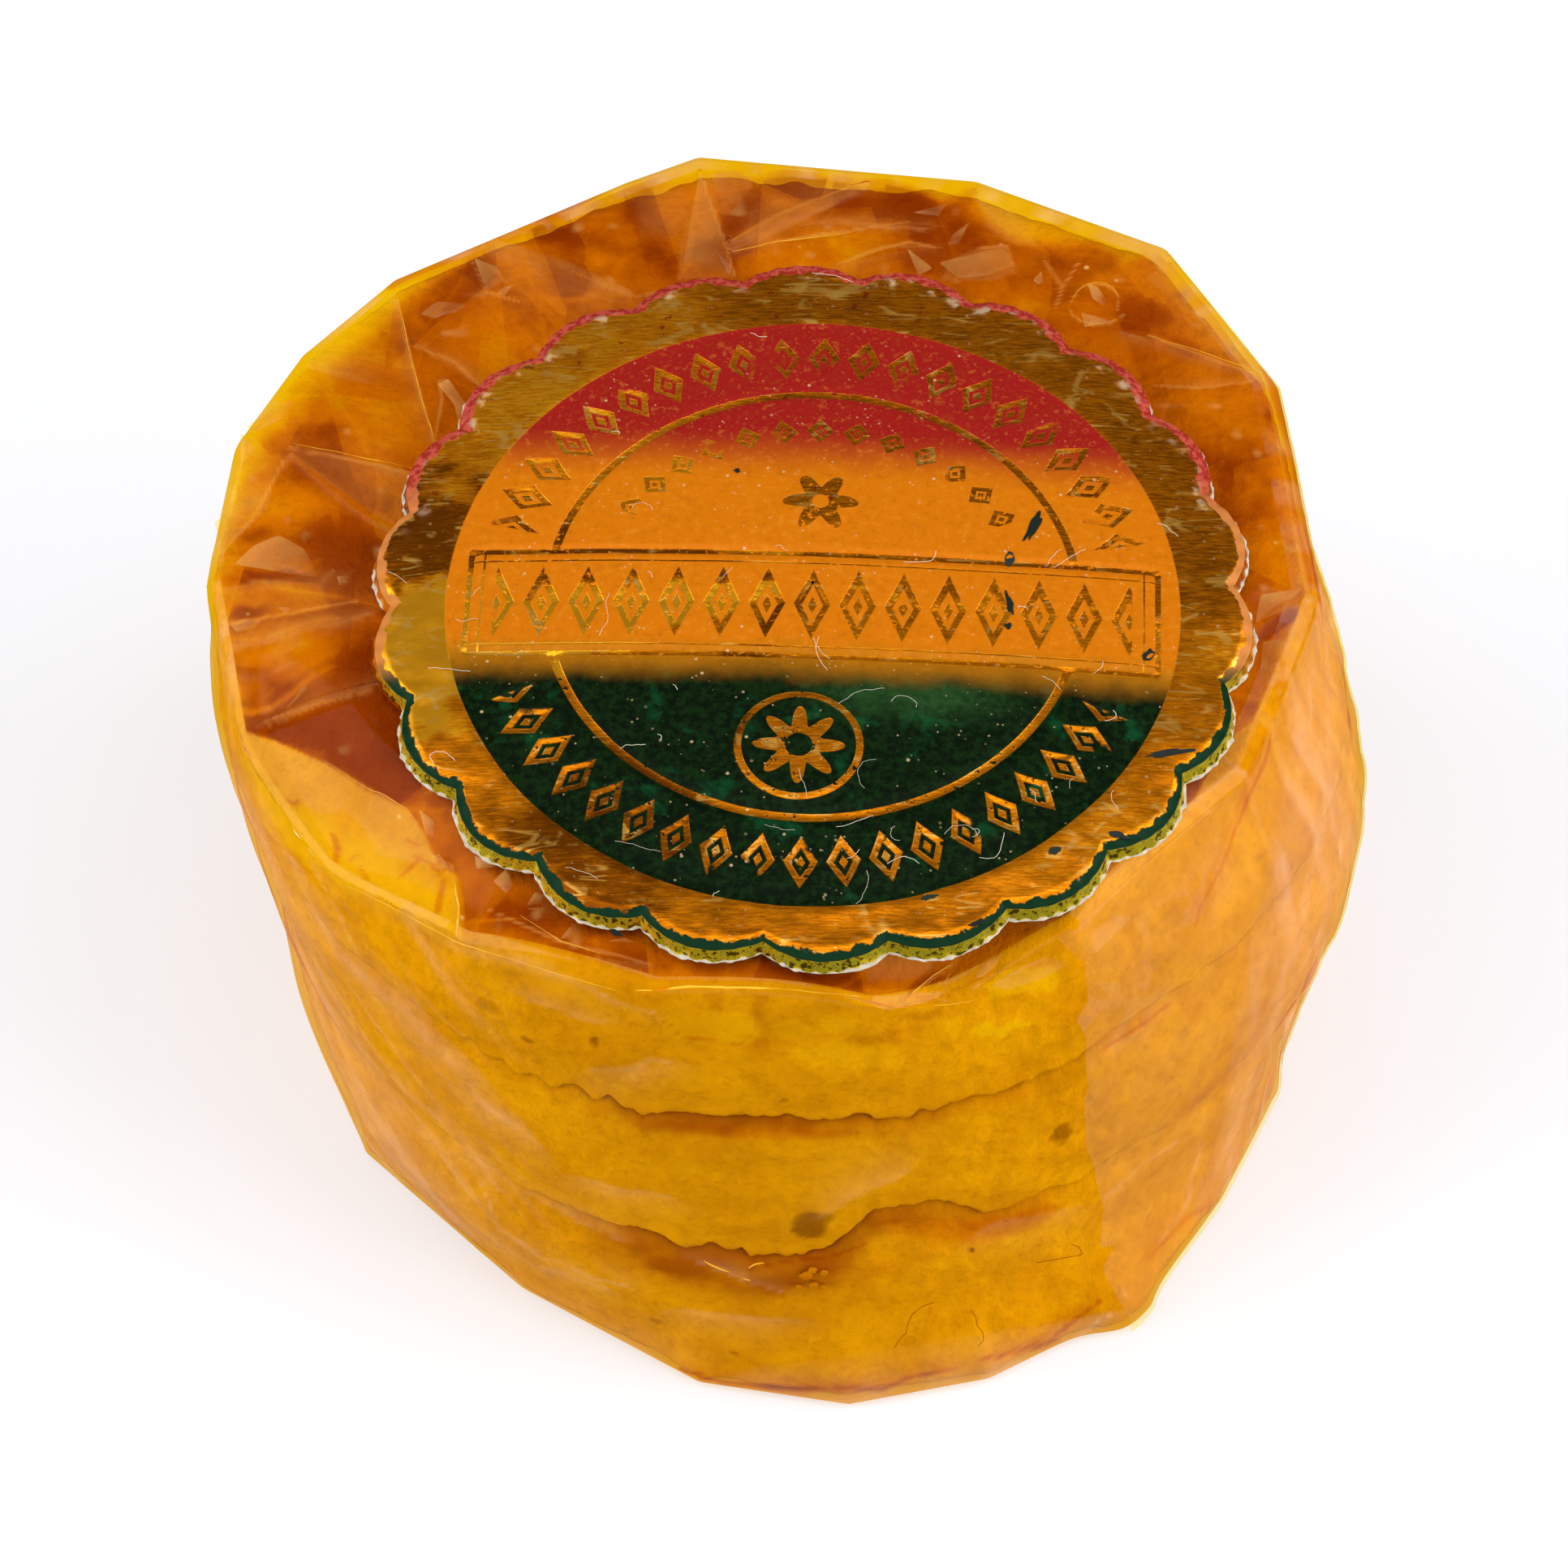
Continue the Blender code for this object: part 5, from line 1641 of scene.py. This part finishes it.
# Dark ink flecks on the seal: place, length, width and turn
INK_MARKS = (
    (12.8, 4.3, 2.2, 0.55, 68), (11.4, 1.9, 0.9, 0.5, 80), (11.3, -1.4, 1.6, 0.35, 100),
    (11.2, -3.0, 0.5, 0.4, 20), (20.0, -11.5, 2.6, 0.45, 12), (16.9, -17.1, 1.3, 0.4, -12),
    (13.4, -18.3, 1.0, 0.45, 8), (19.2, -4.6, 1.1, 0.5, 60), (6.4, -21.4, 0.8, 0.3, 15),
    (-4.4, 8.4, 0.4, 0.3, 0), (-10.9, -23.6, 0.8, 0.35, 150), (9.0, -23.0, 0.9, 0.35, 20),
)


def on_seal(x, y, lift):
    return stack_of(x, y, foil_level(x, y) + seal_relief(x, y) + lift) + SEAL_SHIFT


def make_seal_marks():
    """Thin flakes of dark ink that strayed on to the foil."""
    points, faces = [], []
    steps = 24
    angle = np.linspace(0, 2 * math.pi, steps, endpoint=False)
    for number, (x, y, length, width, turn) in enumerate(INK_MARKS):
        chance = noise(stack_of(np.cos(angle) * 2, np.sin(angle) * 2, float(number)), 1.0, 81)
        ragged = 1.0 + 0.45 * chance
        along, across = length / 2 * np.cos(angle) * ragged, width / 2 * np.sin(angle) * ragged
        tilt = math.radians(turn)
        px = x + along * math.cos(tilt) - across * math.sin(tilt)
        py = y + along * math.sin(tilt) + across * math.cos(tilt)
        start = len(points) * steps
        points.append(on_seal(px, py, 0.03))
        faces.append([start + i for i in range(steps)])
    material = plain_material("dark_ink", 0.4, paint(4, 34, 22), paint(22, 22, 20), size=0.3)
    piece = make_mesh("seal_marks", np.concatenate(points), faces, material)
    return piece


def thread_points(start, turn, length, wander, steps, rng):
    """A thin fibre's path on the flat: it wanders as it goes."""
    heading = math.radians(turn) + np.cumsum(rng.normal(0.0, wander, steps))
    heading = heading + np.linspace(0, rng.normal(0, 1.2), steps)
    path = np.stack([np.cos(heading), np.sin(heading)], axis=-1).cumsum(axis=0) * length / steps
    return np.asarray(start) + path


def tube(path, radius):
    """A thin round thread along a path of points, as a grid of points, a ring at each point of the path."""
    along = np.gradient(path, axis=0)
    along /= np.linalg.norm(along, axis=1, keepdims=True)
    across = np.cross(along, (0.0, 0.0, 1.0))
    across /= np.maximum(np.linalg.norm(across, axis=1, keepdims=True), 1e-9)
    above = np.cross(across, along)
    turn = np.linspace(0, 2 * math.pi, TUBE_SIDES, endpoint=False)
    ring = across[:, None] * np.cos(turn)[:, None] + above[:, None] * np.sin(turn)[:, None]
    return path[:, None] + radius * ring


FIBRE_COUNT = 46
FIBRE_STEPS = 14
TUBE_SIDES = 5


def make_seal_fibres():
    """White lint that clings to the printed seal, mostly on its green part."""
    rng = np.random.default_rng(7)
    points, faces = [], []
    for number in range(FIBRE_COUNT):
        reach = 24.0 * math.sqrt(rng.random())
        turn = rng.normal(-90, 75)
        start = (reach * math.cos(math.radians(turn)), reach * math.sin(math.radians(turn)))
        length = rng.uniform(0.5, 3.2)
        flat = thread_points(start, rng.uniform(0, 360), length, 0.22, FIBRE_STEPS, rng)
        flat *= np.minimum(1.0, 24.6 / np.hypot(flat[:, 0], flat[:, 1]))[:, None]
        rise = 0.04 + 0.10 * np.sin(np.linspace(0, math.pi, FIBRE_STEPS)) * rng.random()
        grid = tube(on_seal(flat[:, 0], flat[:, 1], rise), rng.uniform(0.008, 0.018))
        points.append(grid.reshape(-1, 3))
        faces.append(grid_faces(FIBRE_STEPS, TUBE_SIDES, True) + number * FIBRE_STEPS * TUBE_SIDES)
    material = plain_material("white_lint", 0.8, paint(236, 226, 206))
    piece = make_mesh("seal_fibres", np.concatenate(points), np.concatenate(faces), material)
    return piece


# Dark hairs between the film and the bottom disc, and the crumbs beside them, by the photo's pixels
HAIRS = (
    ((1152, 1607), (1138, 1611), (1125, 1621), (1119, 1633), (1117, 1645), (1109, 1652), (1103, 1662)),
    ((1197, 1617), (1203, 1624), (1205, 1636), (1212, 1644), (1213, 1654), (1206, 1661)),
    ((1278, 1558), (1311, 1552), (1335, 1548), (1331, 1538), (1321, 1535)),
)
CRUMBS = (
    (993, 1576, 0.42), (1003, 1588, 0.32), (1016, 1573, 0.26), (1001, 1570, 0.30), (1013, 1590, 0.20),
    (984, 1590, 0.24),
)
CRUMB_THICKNESS = 0.26
CRUMB_DEPTH = 0.24


def make_hairs():
    grids = []
    for path in HAIRS:
        angle, height = side_place(bend(path, 16))
        grids.append(tube(skin_point(angle, side_radius(angle, height) - 0.12, height), 0.025))
    material = plain_material("dark_hair", 0.6, paint(158, 92, 18))
    piece = join_grids("dark_hairs", grids, material, {})
    return piece


def make_crumbs(material):
    turn = np.linspace(0, 2 * math.pi, 17)
    rise = np.linspace(-math.pi / 2, math.pi / 2, 9)[:, None]
    ball = stack_of(np.cos(rise) * np.cos(turn), np.cos(rise) * np.sin(turn), np.sin(rise) + 0.0 * turn)
    grids = []
    for x, y, radius in CRUMBS:
        angle, height = side_place([(x, y)])
        reach = held_reach(angle, height) - CRUMB_DEPTH
        middle = skin_point(angle, reach, height)[0]
        outward = on_circle(angle[0])
        lump = ball * radius * (1.0 + 0.45 * noise(ball + middle, 0.7, 281))[..., None]
        flattened = 1.0 - CRUMB_THICKNESS / 2 / radius
        grids.append(middle + lump - (lump @ outward)[..., None] * outward * flattened)
    piece = join_grids("crumbs", grids, material, {"brown_and_shade": [0.35] * len(grids)})
    return piece


def make_floor():
    bpy.ops.mesh.primitive_plane_add(size=3.0, location=(0, 0, 0))
    floor = bpy.context.object
    floor.name = "floor"
    graph = Graph("white_floor")
    matte = graph.add("BsdfDiffuse", {"Color": (*FLOOR_PAINT, 1)})
    glow = graph.add("Emission", {"Color": (1, 1, 1, 1), "Strength": FLOOR_GLOW})
    floor.data.materials.append(graph.finish(graph.add("AddShader", {0: matte, 1: glow})))
    floor.visible_glossy = False


def aim(thing, target):
    thing.rotation_mode = "QUATERNION"
    way = Vector(target) - thing.location
    thing.rotation_quaternion = way.to_track_quat("-Z", "Y")


def make_camera():
    data = bpy.data.cameras.new("camera")
    data.lens = CAMERA_LENS
    data.sensor_width = SENSOR_WIDTH
    camera = bpy.data.objects.new("camera", data)
    bpy.context.scene.collection.objects.link(camera)
    aim_point = Vector(CAMERA_AIM) * METRE
    camera.location = aim_point + Vector(CAMERA_BACK) * CAMERA_DISTANCE * METRE
    aim(camera, aim_point)
    bpy.context.scene.camera = camera


# Soft boxes: name, place (m), width, height, brightness
SOFT_BOXES = (
    ("overhead", (0.0, -0.06, 0.64), 0.60, 0.42, 2.1),
    ("left_box", (-0.62, -0.08, 0.33), 0.70, 0.58, 3.6),
    ("right_box", (0.62, -0.10, 0.33), 0.70, 0.58, 4.2),
    ("front_box", (0.05, -0.72, 0.26), 0.60, 0.30, 0.8),
)
WORLD_BRIGHTNESS = 0.10
FLOOR_GLOW = 0.43
FLOOR_PAINT = (0.53, 0.55, 0.59)


def make_lights():
    for name, place, width, height, brightness in SOFT_BOXES:
        data = bpy.data.lights.new(name, "AREA")
        data.shape = "RECTANGLE"
        data.size, data.size_y = width, height
        data.energy = brightness * math.pi * width * height
        lamp = bpy.data.objects.new(name, data)
        lamp.location = place
        bpy.context.scene.collection.objects.link(lamp)
        aim(lamp, (0, 0, 0.02))
    world = bpy.data.worlds.new("studio")
    world.use_nodes = True
    world.node_tree.nodes["Background"].inputs["Color"].default_value = (1, 1, 1, 1)
    world.node_tree.nodes["Background"].inputs["Strength"].default_value = WORLD_BRIGHTNESS
    bpy.context.scene.world = world


def set_render_look():
    scene = bpy.context.scene
    scene.view_settings.view_transform = "Standard"
    scene.cycles.transparent_max_bounces = 48
    scene.cycles.use_denoising = True


def main():
    make_camera()
    make_lights()
    set_render_look()
    make_floor()
    film = film_material("amber_film", sheen_strength=0.30)
    folded = film_material("folded_film", pale=TOP_SHEEN, mirror=0.003, folds=True)
    second = film_material("second_film", tint=SECOND_TINT, sheen_strength=0.32, clings=True)
    facet = film_material("crumpled_film", tint=(0.98, 0.92, 0.5), pale=TOP_SHEEN, sheen_strength=0.34)
    sweet = sweet_material()
    for spec in SWEETS:
        piece = make_sweet(spec, sweet)
    make_film_wrap(film)
    make_film_top(folded)
    make_second_layer(second)
    make_film_facets(facet)
    make_film_glints()
    make_hairs()
    make_crumbs(sweet)
    make_seal(seal_material())
    make_seal_paper()
    make_seal_marks()
    make_seal_fibres()


main()
